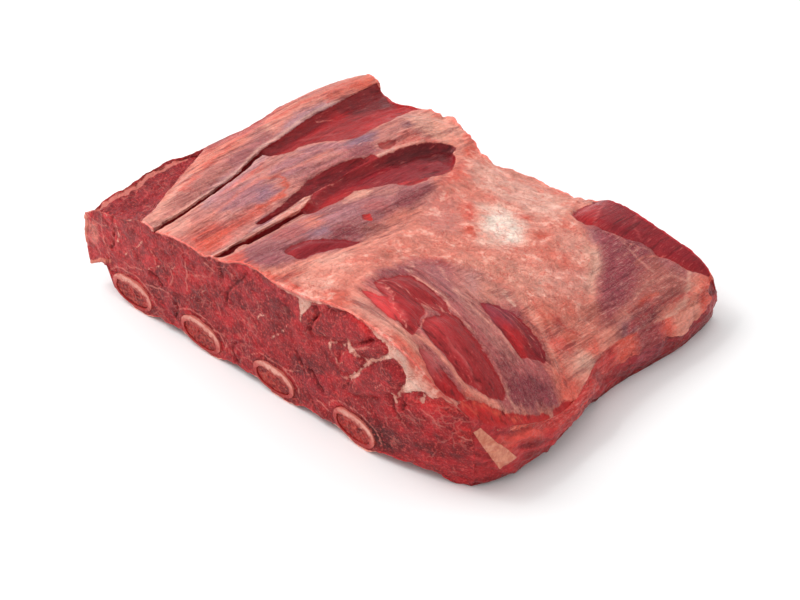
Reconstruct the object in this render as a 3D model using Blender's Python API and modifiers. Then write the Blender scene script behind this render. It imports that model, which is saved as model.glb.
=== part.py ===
"""Raw beef short ribs: a slab of meat on four sawn rib bones, lying bone side down.

Sizes below are in millimetres. "Along" runs to the right on the sawn front face, "deep" runs back
from that face, and "high" is up. The finished slab stands on Z = 0 with its origin under its middle.
"""

import bmesh
import bpy
import numpy as np
from mathutils import Matrix, Vector, noise

MM = 0.001
GAP = 0.3
WELD = 0.001

# The slab's plan: four edges that meet at its corners, each a few points of (along, deep).
FRONT_EDGE = [(2, 0), (110, 0), (214, 0), (246, 3), (262, 11)]
RIGHT_EDGE = [
    (262, 11), (268, 20), (273, 40), (275, 60), (274, 76), (270, 92), (266, 104), (265, 120), (268, 150),
    (270, 175), (264, 203),
]
BACK_EDGE = [
    (13, 205), (60, 204), (98, 201), (110, 197), (118, 190), (129, 193), (146, 201), (168, 203), (205, 202),
    (264, 203),
]
LEFT_EDGE = [(2, 0), (5, 28), (5, 50), (8, 74), (8, 105), (5, 140), (5, 170), (13, 205)]

# How high the top stands above the table: rows run back from the sawn face, columns along it.
HEIGHT_ALONG = (0, 45, 90, 125, 165, 203, 240, 260, 275)
HEIGHT_DEEP = (0, 52, 107, 157, 204)
HEIGHTS = (
    (50, 58, 61, 69, 73, 79, 68, 50, 34),
    (54, 58, 62, 64, 68, 66, 54, 40, 24),
    (52, 56, 58, 58, 59, 56, 45, 34, 22),
    (51, 53, 54, 52, 48, 49, 40, 32, 22),
    (46, 47, 46, 36, 33, 43, 38, 30, 19),
)

# The top's front left corner is worn lower.
CORNER_DROP, CORNER_WIDTH, CORNER_DEPTH = 4.0, 12, 18

# Crowned muscles on the top: centre line of (along, deep), half width and rise.
CROWNS = (
    ([(48, 0), (41, 32), (30, 72), (23, 112), (17, 152), (14, 204)], 11, 2.0),
    ([(79, 0), (73, 52), (65, 92), (70, 132), (75, 172)], 20, 2.5),
    ([(128, 4), (127, 52), (125, 92), (127, 132)], 15, 2.5),
    ([(186, 38), (228, 37), (262, 40)], 30, 2.5),
)

# Grooves between the muscles: stations of (along, deep, width, depth), from the front to the back.
GROOVES = {
    "first_slit": [(56, -4, 3, 4), (53, 16, 5, 7), (48, 52, 6, 8), (43, 82, 5, 7), (39, 98, 3, 5)],
    "bare_field": [(41, 88, 6, 4), (41, 108, 16, 5), (45, 132, 28, 5), (45, 160, 36, 5), (44, 212, 40, 5)],
    "second_slit": [(98, 34, 3, 3), (93, 62, 5, 6), (87, 86, 10, 7), (82, 106, 11, 6), (83, 124, 6, 3)],
    "pocket": [
        (107, -4, 3, 4),
        (109, 24, 5, 7),
        (109, 62, 8, 9),
        (104, 80, 15, 8),
        (101, 102, 17, 8),
        (104, 130, 24, 9),
        (105, 152, 26, 10),
        (104, 168, 19, 10),
        (104, 178, 5, 6),
    ],
}
GROOVE_SIDES = 6
GROOVE_STEPS = 3
ABOVE = 12

# The fat on the top, a layer whose cut edge shows on the front face.
FAT_OUTLINE = [
    (150, -8), (145, 14), (147, 30), (152, 50), (156, 72), (151, 92), (143, 112), (133, 134), (124, 152),
    (119, 166), (110, 182), (92, 184), (74, 192), (66, 214), (181, 214), (184, 190), (194, 176),
    (209, 167), (225, 151), (240, 128), (250, 106), (243, 93), (215, 86), (192, 80), (184, 62),
    (183, 30), (192, 12), (222, 9), (244, 11), (247, -8),
]
FAT_FRONT = [(145, 4), (168, 8), (182, 4), (208, 4), (221, 8), (233, 14), (243, 11), (255, 7)]
FAT_INNER = 5.5
FAT_BLEND = 26
FAT_BOX = ((50, -20), (275, 225))
FAT_CELLS = (20, 20, 1)
OUTLINE_STEPS = 3
LID = 110

# The pale tendon that shows at the front right corner: a wedge set in the meat, this far into it, this
# wide at its foot and this long, turned to face the corner and tilted along it.
TENDON_SIZE = (12, 10, 28)
TENDON_AT = (270, 21, 25)
TENDON_FACING, TENDON_TILT = -0.49, 0.60
TENDON_TOP = 0.4

# Four ribs: centre along the face, section width and height, height of the centre, and tilt.
RIBS = (
    (36, 31, 17, 10.6, -0.07),
    (90, 30, 17, 10.4, -0.10),
    (144, 29, 16, 10.2, -0.07),
    (200, 28, 16, 10.4, -0.17),
)
RIB_WALL = 3.0
RIB_BOW = 1.6
RIB_ROUNDNESS = 0.85
RIB_SIDES = 18
RIB_STATIONS = 4
RIB_LENGTH = 204
CHANNEL_OVERRUN = 10

# The underside rests on the right half of each rib, between these two distances from its middle. It
# rises by RISE_LEFT to the left of there, over SLOPE_LEFT mm, and by RISE_RIGHT to the right.
REST = (2, 10)
RISE_LEFT, SLOPE_LEFT = 5.5, 15
RISE_RIGHT, SLOPE_RIGHT = 4.0, 13
# Its thin left end hangs free, lowest at its tip, and its right end lifts at the front and at the side.
LEFT_LIFT, LEFT_LIFT_END, LEFT_SLOPE = 12, 20, 6
TIP_DROP, TIP_WIDTH = 5.0, 13
FRONT_LIFT = {"rise": 4.4, "from": 207, "full": 220, "fall": 243, "end": 258, "depth": 40}
SIDE_LIFT = {
    "from": 238,
    "full": 264,
    "deep": (0, 11, 20, 35, 56, 76, 95, 106, 204),
    "rise": (0, 0, 2.2, 3, 5, 8.8, 6, 0, 0),
}

# The side walls swell at mid height, and the front right corner tucks under at its foot.
RIGHT_SWELL = 4.0
LEFT_SWELL = 2.5
SWELL_SHARE = 1 / 8
CORNER_TUCK = 4.5
TUCK_START, TUCK_FULL, TUCK_SHARE = 208, 253, 1 / 6

# The back wall's foot stays flush with the rib ends where its top edge dips.
FOOT_START, FOOT_RISE = 0.85, 0.5

# Low lumps on the top, and how finely the slab is sliced along, deep and high.
LUMP_SIZE = 24
LUMP_RISE = 1.1
CELLS = (34, 26, 4)

COLOURS = {
    "lean": ((0.36, 0.045, 0.045), 0.38),
    "fat": ((0.80, 0.42, 0.30), 0.45),
    "tendon": ((0.72, 0.38, 0.22), 0.42),
    "bone": ((0.66, 0.45, 0.33), 0.50),
    "marrow": ((0.30, 0.03, 0.03), 0.55),
}


def clear_scene():
    for thing in list(bpy.data.objects):
        bpy.data.objects.remove(thing, do_unlink=True)


def new_collection(name):
    made = bpy.data.collections.new(name)
    bpy.context.scene.collection.children.link(made)
    return made


def material(name):
    colour, roughness = COLOURS[name]
    made = bpy.data.materials.new(name)
    made.use_nodes = True
    shader = made.node_tree.nodes["Principled BSDF"]
    shader.inputs["Base Color"].default_value = (*colour, 1)
    shader.inputs["Roughness"].default_value = roughness
    return made


def smooth_between(stations, values, at):
    """A smooth curve through the values, each a number or a point, read at each place."""
    stations, values = np.asarray(stations, float), np.asarray(values, float)
    slopes = np.gradient(values, stations, axis=0)
    at = np.clip(at, stations[0], stations[-1])
    cell = np.clip(np.searchsorted(stations, at, "right") - 1, 0, len(stations) - 2)
    width = stations[cell + 1] - stations[cell]
    t = (at - stations[cell]) / width
    near_value, near_slope = 2 * t**3 - 3 * t**2 + 1, (t**3 - 2 * t**2 + t) * width
    far_value, far_slope = 3 * t**2 - 2 * t**3, (t**3 - t**2) * width
    near = near_value * values[cell].T + near_slope * slopes[cell].T
    return (near + far_value * values[cell + 1].T + far_slope * slopes[cell + 1].T).T


def along_curve(points, share):
    """Points at these shares of the length of a smooth curve through a few points."""
    points = np.asarray(points, float)
    run = np.r_[0, np.cumsum(np.linalg.norm(np.diff(points, axis=0), axis=1))]
    return smooth_between(run / run[-1], points, share)


def distance_to_line(along, deep, line):
    """Distance from each place to a line of straight runs."""
    best = np.full(np.shape(along), np.inf)
    for (ax, ay), (bx, by) in zip(line[:-1], line[1:]):
        run = np.array((bx - ax, by - ay), float)
        share = np.clip(((along - ax) * run[0] + (deep - ay) * run[1]) / (run @ run), 0, 1)
        best = np.minimum(best, np.hypot(along - ax - share * run[0], deep - ay - share * run[1]))
    return best


def eased(share):
    share = np.clip(share, 0, 1)
    return share * share * (3 - 2 * share)


def top_height(along, deep):
    """Height of the top above the table at each place, with the crowned muscles and low lumps."""
    columns = np.transpose([smooth_between(HEIGHT_ALONG, row, along) for row in HEIGHTS])
    height = np.array([smooth_between(HEIGHT_DEEP, column, [at])[0] for column, at in zip(columns, deep)])
    height -= CORNER_DROP * eased(1 - along / CORNER_WIDTH) * eased(1 - deep / CORNER_DEPTH)
    for line, half_width, rise in CROWNS:
        height += rise * eased(1 - distance_to_line(along, deep, line) / half_width)
    lumps = [noise.noise(Vector((a, d, 0)) / LUMP_SIZE) for a, d in zip(along, deep)]
    return height + LUMP_RISE * np.array(lumps)


def under_height(along, deep):
    """Height of the underside: it rests on the ribs, and its two ends hang free."""
    middles = np.array([rib[0] for rib in RIBS])[:, None]
    left = RISE_LEFT * eased((middles + REST[0] - along) / SLOPE_LEFT)
    right = RISE_RIGHT * eased((along - middles - REST[1]) / SLOPE_RIGHT)
    height = np.min(np.maximum(left, right), axis=0)
    height = height * (along < RIBS[-1][0] + REST[1])
    tip = TIP_DROP * eased((TIP_WIDTH - along) / TIP_WIDTH)
    height += (LEFT_LIFT - tip) * eased((LEFT_LIFT_END - along) / LEFT_SLOPE)
    lift = FRONT_LIFT
    span = eased((along - lift["from"]) / (lift["full"] - lift["from"]))
    span = span * eased((lift["end"] - along) / (lift["end"] - lift["fall"]))
    height += lift["rise"] * span * eased(1 - deep / lift["depth"])
    lift = SIDE_LIFT
    span = eased((along - lift["from"]) / (lift["full"] - lift["from"]))
    return height + span * np.interp(deep, lift["deep"], lift["rise"])


def plan_point(u, v):
    """A place in the plan, from shares along and deep, blended from the four edges."""
    front, back = along_curve(FRONT_EDGE, u), along_curve(BACK_EDGE, u)
    left, right = along_curve(LEFT_EDGE, v), along_curve(RIGHT_EDGE, v)
    u, v = u[:, None], v[:, None]
    corners = (1 - u) * (1 - v) * np.array(FRONT_EDGE[0]) + u * (1 - v) * np.array(FRONT_EDGE[-1])
    corners = corners + (1 - u) * v * np.array(BACK_EDGE[0]) + u * v * np.array(BACK_EDGE[-1])
    return (1 - v) * front + v * back + (1 - u) * left + u * right - corners


def sliced_block(cells):
    """A block from 0 to 1 each way, sliced into cells whose diagonals all run the same way."""
    bm = bmesh.new()
    bmesh.ops.create_cube(bm, size=1.0, matrix=Matrix.Translation((0.5, 0.5, 0.5)))
    for axis, count in enumerate(cells):
        normal = Vector([float(axis == n) for n in range(3)])
        for cut in range(1, count):
            everything = bm.verts[:] + bm.edges[:] + bm.faces[:]
            bmesh.ops.bisect_plane(bm, geom=everything, plane_co=normal * (cut / count), plane_no=normal)
    bmesh.ops.triangulate(bm, faces=bm.faces, quad_method="FIXED")
    return bm


def shaped(bm, place):
    """Moves every point of the mesh to where place puts it, given all points at once."""
    points = np.array([vert.co for vert in bm.verts])
    for vert, point in zip(bm.verts, place(points)):
        vert.co = point
    return bm


def as_object(name, bm, collection, colour=None):
    if bm.calc_volume(signed=True) < 0:
        bmesh.ops.reverse_faces(bm, faces=bm.faces)
    mesh = bpy.data.meshes.new(name)
    bm.to_mesh(mesh)
    bm.free()
    made = bpy.data.objects.new(name, mesh)
    collection.objects.link(made)
    if colour:
        mesh.materials.append(colour)
    return made


def slab_place(points):
    """From shares of the block to the slab's own form."""
    u, v, w = points.T
    plan = plan_point(u, v)
    along, deep = plan.T
    under, top = under_height(along, deep), top_height(along, deep)
    belly = 4 * w * (1 - w)
    swell = RIGHT_SWELL * eased(1 - (1 - u) / SWELL_SHARE) - LEFT_SWELL * eased(1 - u / SWELL_SHARE)
    along = along + swell * belly
    tuck = eased((along - TUCK_START) / (TUCK_FULL - TUCK_START)) * eased(1 - v / TUCK_SHARE)
    deep = deep + CORNER_TUCK * (1 - w) ** 2 * tuck
    foot = (1 - w) * eased((v - FOOT_START) / (1 - FOOT_START))
    deep = deep + np.maximum(RIB_LENGTH - plan[:, 1], 0) * np.minimum(foot / FOOT_RISE, 1)
    return np.stack([along, deep, under + w * (top - under)], -1)


def fat_depth(along, deep):
    """How deep the fat goes, thickest where its seam shows on the sawn face."""
    front = smooth_between(*zip(*FAT_FRONT), along)
    return front + (FAT_INNER - front) * eased(deep / FAT_BLEND)


def above_fat_floor(gap):
    """A block whose floor is the bottom of the fat layer and whose lid is clear above the slab."""
    low, high = np.array(FAT_BOX[0], float), np.array(FAT_BOX[1], float)

    def place(points):
        along, deep = (low + points[:, :2] * (high - low)).T
        floor = top_height(along, deep) - fat_depth(along, deep) - gap
        return np.stack([along, deep, floor + points[:, 2] * (LID - floor)], -1)

    return shaped(sliced_block(FAT_CELLS), place)


def outline_prism(name, outline, grow, collection):
    """An upright prism on a smooth closed outline, grown outwards, made as a filled 2D curve."""
    count = len(outline)
    loop = [outline[n % count] for n in range(-2, count + 3)]
    places = np.arange(count * OUTLINE_STEPS) / OUTLINE_STEPS
    path = smooth_between(np.arange(-2, count + 3), loop, places)
    ahead = np.roll(path, -1, 0) - np.roll(path, 1, 0)
    outward = np.stack([ahead[:, 1], -ahead[:, 0]], -1) / np.linalg.norm(ahead, axis=1)[:, None]
    turning = np.sum(path[:, 0] * np.roll(path[:, 1], -1) - path[:, 1] * np.roll(path[:, 0], -1))
    path = path + outward * grow * np.sign(turning)
    curve = bpy.data.curves.new(name, "CURVE")
    curve.dimensions, curve.fill_mode, curve.extrude = "2D", "BOTH", LID / 2 + 1
    spline = curve.splines.new("POLY")
    spline.points.add(len(path) - 1)
    for point, (along, deep) in zip(spline.points, path):
        point.co = (along, deep, 0, 1)
    spline.use_cyclic_u = True
    holder = bpy.data.objects.new(name, curve)
    collection.objects.link(holder)
    holder.location.z = LID / 2
    return closed_mesh(holder, collection)


def closed_mesh(holder, collection):
    """The curve object made a mesh, with its caps welded on."""
    bpy.context.view_layer.update()
    seen = holder.evaluated_get(bpy.context.evaluated_depsgraph_get())
    mesh = bpy.data.meshes.new_from_object(seen)
    name, matrix = holder.name, holder.matrix_world.copy()
    bpy.data.objects.remove(holder)
    mesh.transform(matrix)
    bm = bmesh.new()
    bm.from_mesh(mesh)
    bmesh.ops.remove_doubles(bm, verts=bm.verts, dist=WELD)
    return as_object(name, bm, collection)


def groove_cutter(name, stations, collection):
    """A trench with a round floor that follows the top: a block lofted through its stations."""
    shares = np.linspace(0, 1, len(stations))
    small_step = 0.01

    def place(points):
        across, run = points[:, 0] * 2 - 1, points[:, 1]
        along, deep, width, depth = smooth_between(shares, stations, run).T
        ahead = smooth_between(shares, stations, np.clip(run + small_step, 0, 1))
        before = smooth_between(shares, stations, np.clip(run - small_step, 0, 1))
        way = (ahead - before)[:, :2]
        way /= np.linalg.norm(way, axis=1)[:, None]
        surface = top_height(along, deep)
        floor = surface - depth * np.sqrt(1 - across**2)
        high = np.where(points[:, 2] > 0.5, surface + ABOVE, floor)
        side = across * width / 2
        return np.stack([along + side * way[:, 1], deep - side * way[:, 0], high], -1)

    cells = (GROOVE_SIDES, GROOVE_STEPS * (len(stations) - 1), 1)
    return as_object(name, shaped(sliced_block(cells), place), collection)


def rib_form(rib, grow, start, end, capped):
    """A rib's flattened round section swept back from the sawn face, with a slight bow."""
    centre, width, height, high, tilt = rib
    bm = bmesh.new()
    bmesh.ops.create_cone(bm, cap_ends=capped, segments=RIB_SIDES, radius1=1, radius2=1, depth=1)
    for cut in range(1, RIB_STATIONS):
        everything = bm.verts[:] + bm.edges[:] + bm.faces[:]
        plane = Vector((0, 0, cut / RIB_STATIONS - 0.5))
        bmesh.ops.bisect_plane(bm, geom=everything, plane_co=plane, plane_no=(0, 0, 1))

    def place(points):
        across, up, run = points.T
        turn = np.arctan2(up, across)
        wide = np.sign(np.cos(turn)) * np.abs(np.cos(turn)) ** RIB_ROUNDNESS * (width / 2 + grow)
        tall = np.sign(np.sin(turn)) * np.abs(np.sin(turn)) ** RIB_ROUNDNESS * (height / 2 + grow)
        deep = end - (run + 0.5) * (end - start)
        bow = RIB_BOW * (1 - ((deep - RIB_LENGTH / 2) / (RIB_LENGTH / 2)) ** 2)
        along = centre + wide * np.cos(tilt) - tall * np.sin(tilt)
        return np.stack([along, deep, high + bow + wide * np.sin(tilt) + tall * np.cos(tilt)], -1)

    return shaped(bm, place)


def tendon_block(name, grow, collection):
    """The wedge that the tendon fills, grown all round."""
    bm = bmesh.new()
    bmesh.ops.create_cube(bm, size=1.0)
    for vert in bm.verts:
        narrowing = TENDON_TOP if vert.co.z > 0 else 1
        sides = (TENDON_SIZE[0], TENDON_SIZE[1] * narrowing, TENDON_SIZE[2])
        vert.co = Vector([at * (side + 2 * grow) for at, side in zip(vert.co, sides)])
    turn = Matrix.Rotation(TENDON_FACING, 4, "Z") @ Matrix.Rotation(TENDON_TILT, 4, "X")
    bmesh.ops.transform(bm, matrix=Matrix.Translation(TENDON_AT) @ turn, verts=bm.verts)
    return as_object(name, bm, collection)


def boolean(target, operation, tool):
    step = target.modifiers.new(f"{operation.lower()}_{tool.name}"[:60], "BOOLEAN")
    step.operation, step.object, step.solver = operation, tool, "MANIFOLD"


def baked(target):
    """The object's mesh with its modifiers applied."""
    bpy.context.view_layer.update()
    seen = target.evaluated_get(bpy.context.evaluated_depsgraph_get())
    mesh = bpy.data.meshes.new_from_object(seen)
    target.modifiers.clear()
    target.data = mesh
    return target


def copy_of(source, name, collection):
    made = bpy.data.objects.new(name, source.data.copy())
    collection.objects.link(made)
    return made


def build():
    clear_scene()
    parts, tools = new_collection("beef_short_ribs"), new_collection("cutters")
    paint = {name: material(name) for name in COLOURS}

    slab = as_object("slab", shaped(sliced_block(CELLS), slab_place), tools)
    for name, stations in GROOVES.items():
        boolean(slab, "DIFFERENCE", groove_cutter(name, stations, tools))
    baked(slab)

    def layer_tool(name, gap):
        tool = as_object(name, above_fat_floor(gap), tools)
        boolean(tool, "INTERSECT", outline_prism(name + "_outline", FAT_OUTLINE, gap, tools))
        return baked(tool)

    fat = copy_of(slab, "fat_layer", parts)
    boolean(fat, "INTERSECT", layer_tool("fat_space", 0.0))
    baked(fat).data.materials.append(paint["fat"])

    tendon = copy_of(slab, "tendon", parts)
    boolean(tendon, "INTERSECT", tendon_block("tendon_space", 0.0, tools))
    baked(tendon).data.materials.append(paint["tendon"])

    lean = copy_of(slab, "lean_meat", parts)
    boolean(lean, "DIFFERENCE", layer_tool("fat_bed", GAP))
    boolean(lean, "DIFFERENCE", tendon_block("tendon_bed", GAP, tools))
    for number, rib in enumerate(RIBS, 1):
        channel = rib_form(rib, GAP, -CHANNEL_OVERRUN, RIB_LENGTH + CHANNEL_OVERRUN, True)
        boolean(lean, "DIFFERENCE", as_object(f"rib_channel_{number}", channel, tools))
    baked(lean).data.materials.append(paint["lean"])

    for number, rib in enumerate(RIBS, 1):
        bone = as_object(f"rib_bone_{number}", rib_form(rib, 0, 0, RIB_LENGTH, False), parts, paint["bone"])
        wall = bone.modifiers.new("wall", "SOLIDIFY")
        wall.thickness, wall.offset = RIB_WALL, -1
        core = rib_form(rib, -RIB_WALL - GAP, 0, RIB_LENGTH, True)
        as_object(f"rib_marrow_{number}", core, parts, paint["marrow"])

    for tool in tools.objects:
        tool.hide_render = True
        tool.display_type = "WIRE"

    # From millimetres on the plan to metres about the middle of the slab's box.
    for thing in parts.objects:
        baked(thing)
    corners = np.array([vert.co for thing in parts.objects for vert in thing.data.vertices])
    middle = (corners.min(0) + corners.max(0)) / 2
    to_metres = Matrix.Scale(MM, 4) @ Matrix.Translation((-middle[0], -middle[1], 0))
    for thing in parts.objects:
        thing.data.transform(to_metres)


build()
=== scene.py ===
import math

import bpy
import numpy as np
from mathutils import Matrix, Vector
from mathutils.kdtree import KDTree


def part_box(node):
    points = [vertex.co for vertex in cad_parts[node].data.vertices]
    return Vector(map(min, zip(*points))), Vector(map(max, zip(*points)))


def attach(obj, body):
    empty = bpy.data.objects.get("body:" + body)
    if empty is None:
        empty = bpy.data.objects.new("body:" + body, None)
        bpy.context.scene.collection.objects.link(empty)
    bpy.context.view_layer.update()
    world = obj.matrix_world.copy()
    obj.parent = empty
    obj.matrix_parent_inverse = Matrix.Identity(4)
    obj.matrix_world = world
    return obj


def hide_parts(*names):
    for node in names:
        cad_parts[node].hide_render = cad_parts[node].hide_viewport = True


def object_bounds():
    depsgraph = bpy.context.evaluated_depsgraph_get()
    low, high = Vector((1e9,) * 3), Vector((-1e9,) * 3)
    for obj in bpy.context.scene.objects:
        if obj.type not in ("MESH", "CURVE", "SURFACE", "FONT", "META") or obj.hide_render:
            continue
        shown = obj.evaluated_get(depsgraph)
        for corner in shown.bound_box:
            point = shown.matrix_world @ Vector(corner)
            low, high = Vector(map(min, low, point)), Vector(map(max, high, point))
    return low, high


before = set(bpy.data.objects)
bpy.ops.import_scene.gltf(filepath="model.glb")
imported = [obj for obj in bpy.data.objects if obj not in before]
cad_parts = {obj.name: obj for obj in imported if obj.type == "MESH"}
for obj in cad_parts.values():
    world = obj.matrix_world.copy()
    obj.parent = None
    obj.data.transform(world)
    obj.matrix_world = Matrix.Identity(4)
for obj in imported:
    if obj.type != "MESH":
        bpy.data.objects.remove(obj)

cadBox = [list(corner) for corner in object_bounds()]
bpy.ops.object.select_all(action="DESELECT")
print("frame loaded")

# Places are in mm from a mark near the slab's middle: x right along the sawn face, y back, z up.
# The sawn face stands at y = sawnFace, and the first rib's middle lies at x = firstRib.
mm = 0.001
tiny = 1e-9
boxMargin = 0.00002
farAway = 12.0
sawnFace = -72.0
firstRib = -127.0
boneLow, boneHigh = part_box("rib_bone_1")
markShift = np.array(((boneLow.x + boneHigh.x) / 2 / mm - firstRib, boneLow.y / mm - sawnFace, 0.0))


def eased(share):
    share = np.clip(share, 0, 1)
    return share * share * (3 - 2 * share)


def stepUp(value, station, length):
    # 0 before the station, 1 a length after it; a negative length steps down.
    return eased((value - station) / length)


def stationCell(stations, at):
    # Which two stations each value lies between: the lower one's index, the gap and the share of it.
    at = np.clip(at, stations[0], stations[-1])
    cell = np.clip(np.searchsorted(stations, at, "right") - 1, 0, len(stations) - 2)
    width = stations[cell + 1] - stations[cell]
    return cell, width, (at - stations[cell]) / width


def smoothMix(t, width, near, nearSlope, far, farSlope):
    # The cubic that has these values and slopes at its two ends.
    start = (2 * t**3 - 3 * t**2 + 1) * near + (t**3 - 2 * t**2 + t) * width * nearSlope
    end = (3 * t**2 - 2 * t**3) * far + (t**3 - t**2) * width * farSlope
    return start + end


def smoothBetween(stations, values, at):
    stations, values = np.asarray(stations, float), np.asarray(values, float)
    slopes = np.gradient(values, stations, axis=0)
    cell, width, t = stationCell(stations, at)
    return smoothMix(t, width, values[cell].T, slopes[cell].T, values[cell + 1].T, slopes[cell + 1].T).T


def alongCurve(points, share):
    points = np.asarray(points, float)
    run = np.r_[0, np.cumsum(np.linalg.norm(np.diff(points, axis=0), axis=1))]
    return smoothBetween(run / run[-1], points, share)


# Repeatable noise: gradients on a lattice, mixed by a shuffled table.
noiseValues = {"start": 7136, "seedStep": 37, "gain": 1.6, "scatter": 0.45, "far": 9.0}
noiseDice = np.random.default_rng(noiseValues["start"])
noiseTable = noiseDice.permutation(256)
noiseArrows = noiseDice.normal(size=(256, 3))
noiseArrows /= np.linalg.norm(noiseArrows, axis=1)[:, None]


def hashed(cell, seed):
    step = noiseTable[(cell[:, 0] + noiseValues["seedStep"] * seed) & 255]
    step = noiseTable[(step + cell[:, 1]) & 255]
    return noiseTable[(step + cell[:, 2]) & 255]


def noiseAt(places, size, seed=0):
    spot = places / size
    cell = np.floor(spot).astype(int)
    part = spot - cell
    fade = part * part * part * (part * (part * 6 - 15) + 10)
    total = np.zeros(len(places))
    for corner in np.ndindex(2, 2, 2):
        corner = np.array(corner)
        arrow = noiseArrows[hashed(cell + corner, seed)]
        weight = np.prod(np.where(corner, fade, 1 - fade), axis=1)
        total += weight * np.sum(arrow * (part - corner), axis=1)
    return total * noiseValues["gain"]


def layeredNoise(places, size, layers=3, seed=0):
    total = np.zeros(len(places))
    for layer in range(layers):
        total += noiseAt(places, np.asarray(size) / 2**layer, seed + layer) / 2**layer
    return total


def cellNoise(places, size, seed=0):
    # Distance to the nearest and the second nearest of scattered points, and the nearest one's own number.
    spot = places / size
    cell = np.floor(spot).astype(int)
    first, second = np.full(len(places), noiseValues["far"]), np.full(len(places), noiseValues["far"])
    owner = np.zeros(len(places))
    for corner in np.ndindex(3, 3, 3):
        near = cell + np.array(corner) - 1
        number = hashed(near, seed)
        away = np.linalg.norm(near + 0.5 + noiseValues["scatter"] * noiseArrows[number] - spot, axis=1)
        closer = away < first
        second = np.where(closer, first, np.minimum(second, away))
        owner = np.where(closer, number / 255, owner)
        first = np.where(closer, away, first)
    return first, second, owner


def placesNear(x, y, points, reach):
    low, high = points.min(0) - reach, points.max(0) + reach
    return np.flatnonzero((x > low[0]) & (x < high[0]) & (y > low[1]) & (y < high[1]))


def besideLine(x, y, start, end):
    # How far each place is from the straight line between two points, and at which share of it.
    (ax, ay), (bx, by) = start[:2], end[:2]
    dx, dy = bx - ax, by - ay
    share = np.clip(((x - ax) * dx + (y - ay) * dy) / (dx * dx + dy * dy), 0, 1)
    return np.hypot(x - ax - share * dx, y - ay - share * dy), share


# The two distances below come in whole mm, rounded towards 0, where the reach is a whole number,
# and that gives the edges of strokes and crowns their fine steps.
def signedDistance(x, y, outline, reach=farAway):
    # Distance to a closed outline, negative inside it and at most reach.
    outline = np.asarray(outline, float)
    near = placesNear(x, y, outline, reach)
    px, py = x[near], y[near]
    best, inside = np.full(len(near), reach), np.zeros(len(near), bool)
    for start, end in zip(outline, np.roll(outline, -1, 0)):
        best = np.minimum(best, besideLine(px, py, start, end)[0])
        crosses = (start[1] > py) != (end[1] > py)
        rise = end[1] - start[1]
        inside ^= crosses & (px < start[0] + (py - start[1]) * (end[0] - start[0]) / (rise if rise else tiny))
    result = np.full(len(x), reach)
    result[near] = np.where(inside, -best, best)
    return result


def lineDistance(x, y, line, reach=farAway):
    line = np.asarray(line, float)
    near = placesNear(x, y, line, reach)
    best = np.full(len(near), reach)
    for start, end in zip(line[:-1], line[1:]):
        best = np.minimum(best, besideLine(x[near], y[near], start, end)[0])
    result = np.full(len(x), reach)
    result[near] = best
    return result


def nearestOutline(x, y, outlines, best):
    for outline in outlines:
        best = np.minimum(best, signedDistance(x, y, outline))
    return best


def nearestLine(x, y, lines):
    # Distance to the nearest of several lines, each with its width, so negative on a line.
    best = np.full(len(x), farAway)
    for width, line in lines:
        best = np.minimum(best, lineDistance(x, y, line) - width / 2)
    return best


def troughDepth(x, y, stations):
    # How deep a groove of stations (x, y, width, depth) is at each place.
    trough = {"pieces": 6, "edge": 1.2, "soften": 0.7}
    line = alongCurve(stations, np.linspace(0, 1, trough["pieces"] * len(stations)))
    depth = np.zeros(len(x))
    for start, end in zip(line[:-1], line[1:]):
        middle, size = (start + end) / 2, np.abs(end - start)
        reach = max(start[2], end[2])
        inX, inY = np.abs(x - middle[0]) < reach + size[0], np.abs(y - middle[1]) < reach + size[1]
        near = np.flatnonzero(inX & inY)
        away, share = besideLine(x[near], y[near], start, end)
        width, deep = (start[n] + share * (end[n] - start[n]) for n in (2, 3))
        here = deep * eased((trough["edge"] - away / width * 2) / trough["soften"])
        depth[near] = np.maximum(depth[near], here)
    return depth


# Colours by name, red, green and blue out of 255, as the meat looks in soft daylight.
tones = {
    "peach": (226, 134, 116), "pink": (208, 128, 118), "pale": (236, 160, 142), "cream": (240, 186, 168),
    "ivory": (254, 228, 212), "beige": (228, 154, 134), "salmon": (226, 122, 102), "coral": (222, 88, 72),
    "orange": (214, 86, 66), "blood": (184, 36, 34), "tan": (196, 104, 88), "lilac": (172, 106, 112),
    "lightLilac": (188, 134, 140), "greyPink": (188, 112, 104), "blueGrey": (148, 102, 118),
    "mauve": (146, 56, 66), "rose": (178, 86, 86), "plum": (134, 44, 56), "purple": (114, 36, 48),
    "brown": (152, 72, 64), "lean": (144, 28, 32), "dark": (108, 24, 30), "deep": (84, 14, 20),
    "bright": (168, 26, 30), "raw": (150, 24, 30), "wine": (126, 20, 30), "fibre": (190, 84, 82),
    "dusk": (170, 98, 100), "heather": (154, 78, 86), "slate": (122, 66, 76), "stone": (232, 170, 150),
    "russet": (170, 88, 80), "scarlet": (204, 56, 58), "fleshRose": (166, 40, 44), "blush": (232, 116, 92),
}


def linear(colour):
    parts = [part / 255 for part in colour]
    return (*[part / 12.92 if part <= 0.04045 else ((part + 0.055) / 1.055) ** 2.4 for part in parts], 1)


def toneOf(name):
    return np.array(linear(tones[name])[:3])


def stroked(colour, weight, tone):
    return colour + weight[:, None] * (toneOf(tone) - colour)


def painted(x, y, base, areas, lines=()):
    # Soft strokes over a base colour: areas are (tone, softness, strength, outline), lines have a width too.
    colour = np.tile(toneOf(base), (len(x), 1))
    for tone, soft, strength, outline in areas:
        colour = stroked(colour, strength * eased(0.5 - signedDistance(x, y, outline, soft) / soft), tone)
    for tone, width, soft, strength, line in lines:
        away = lineDistance(x, y, line, width + soft) - width / 2
        colour = stroked(colour, strength * eased(0.5 - away / soft), tone)
    return colour


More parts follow.
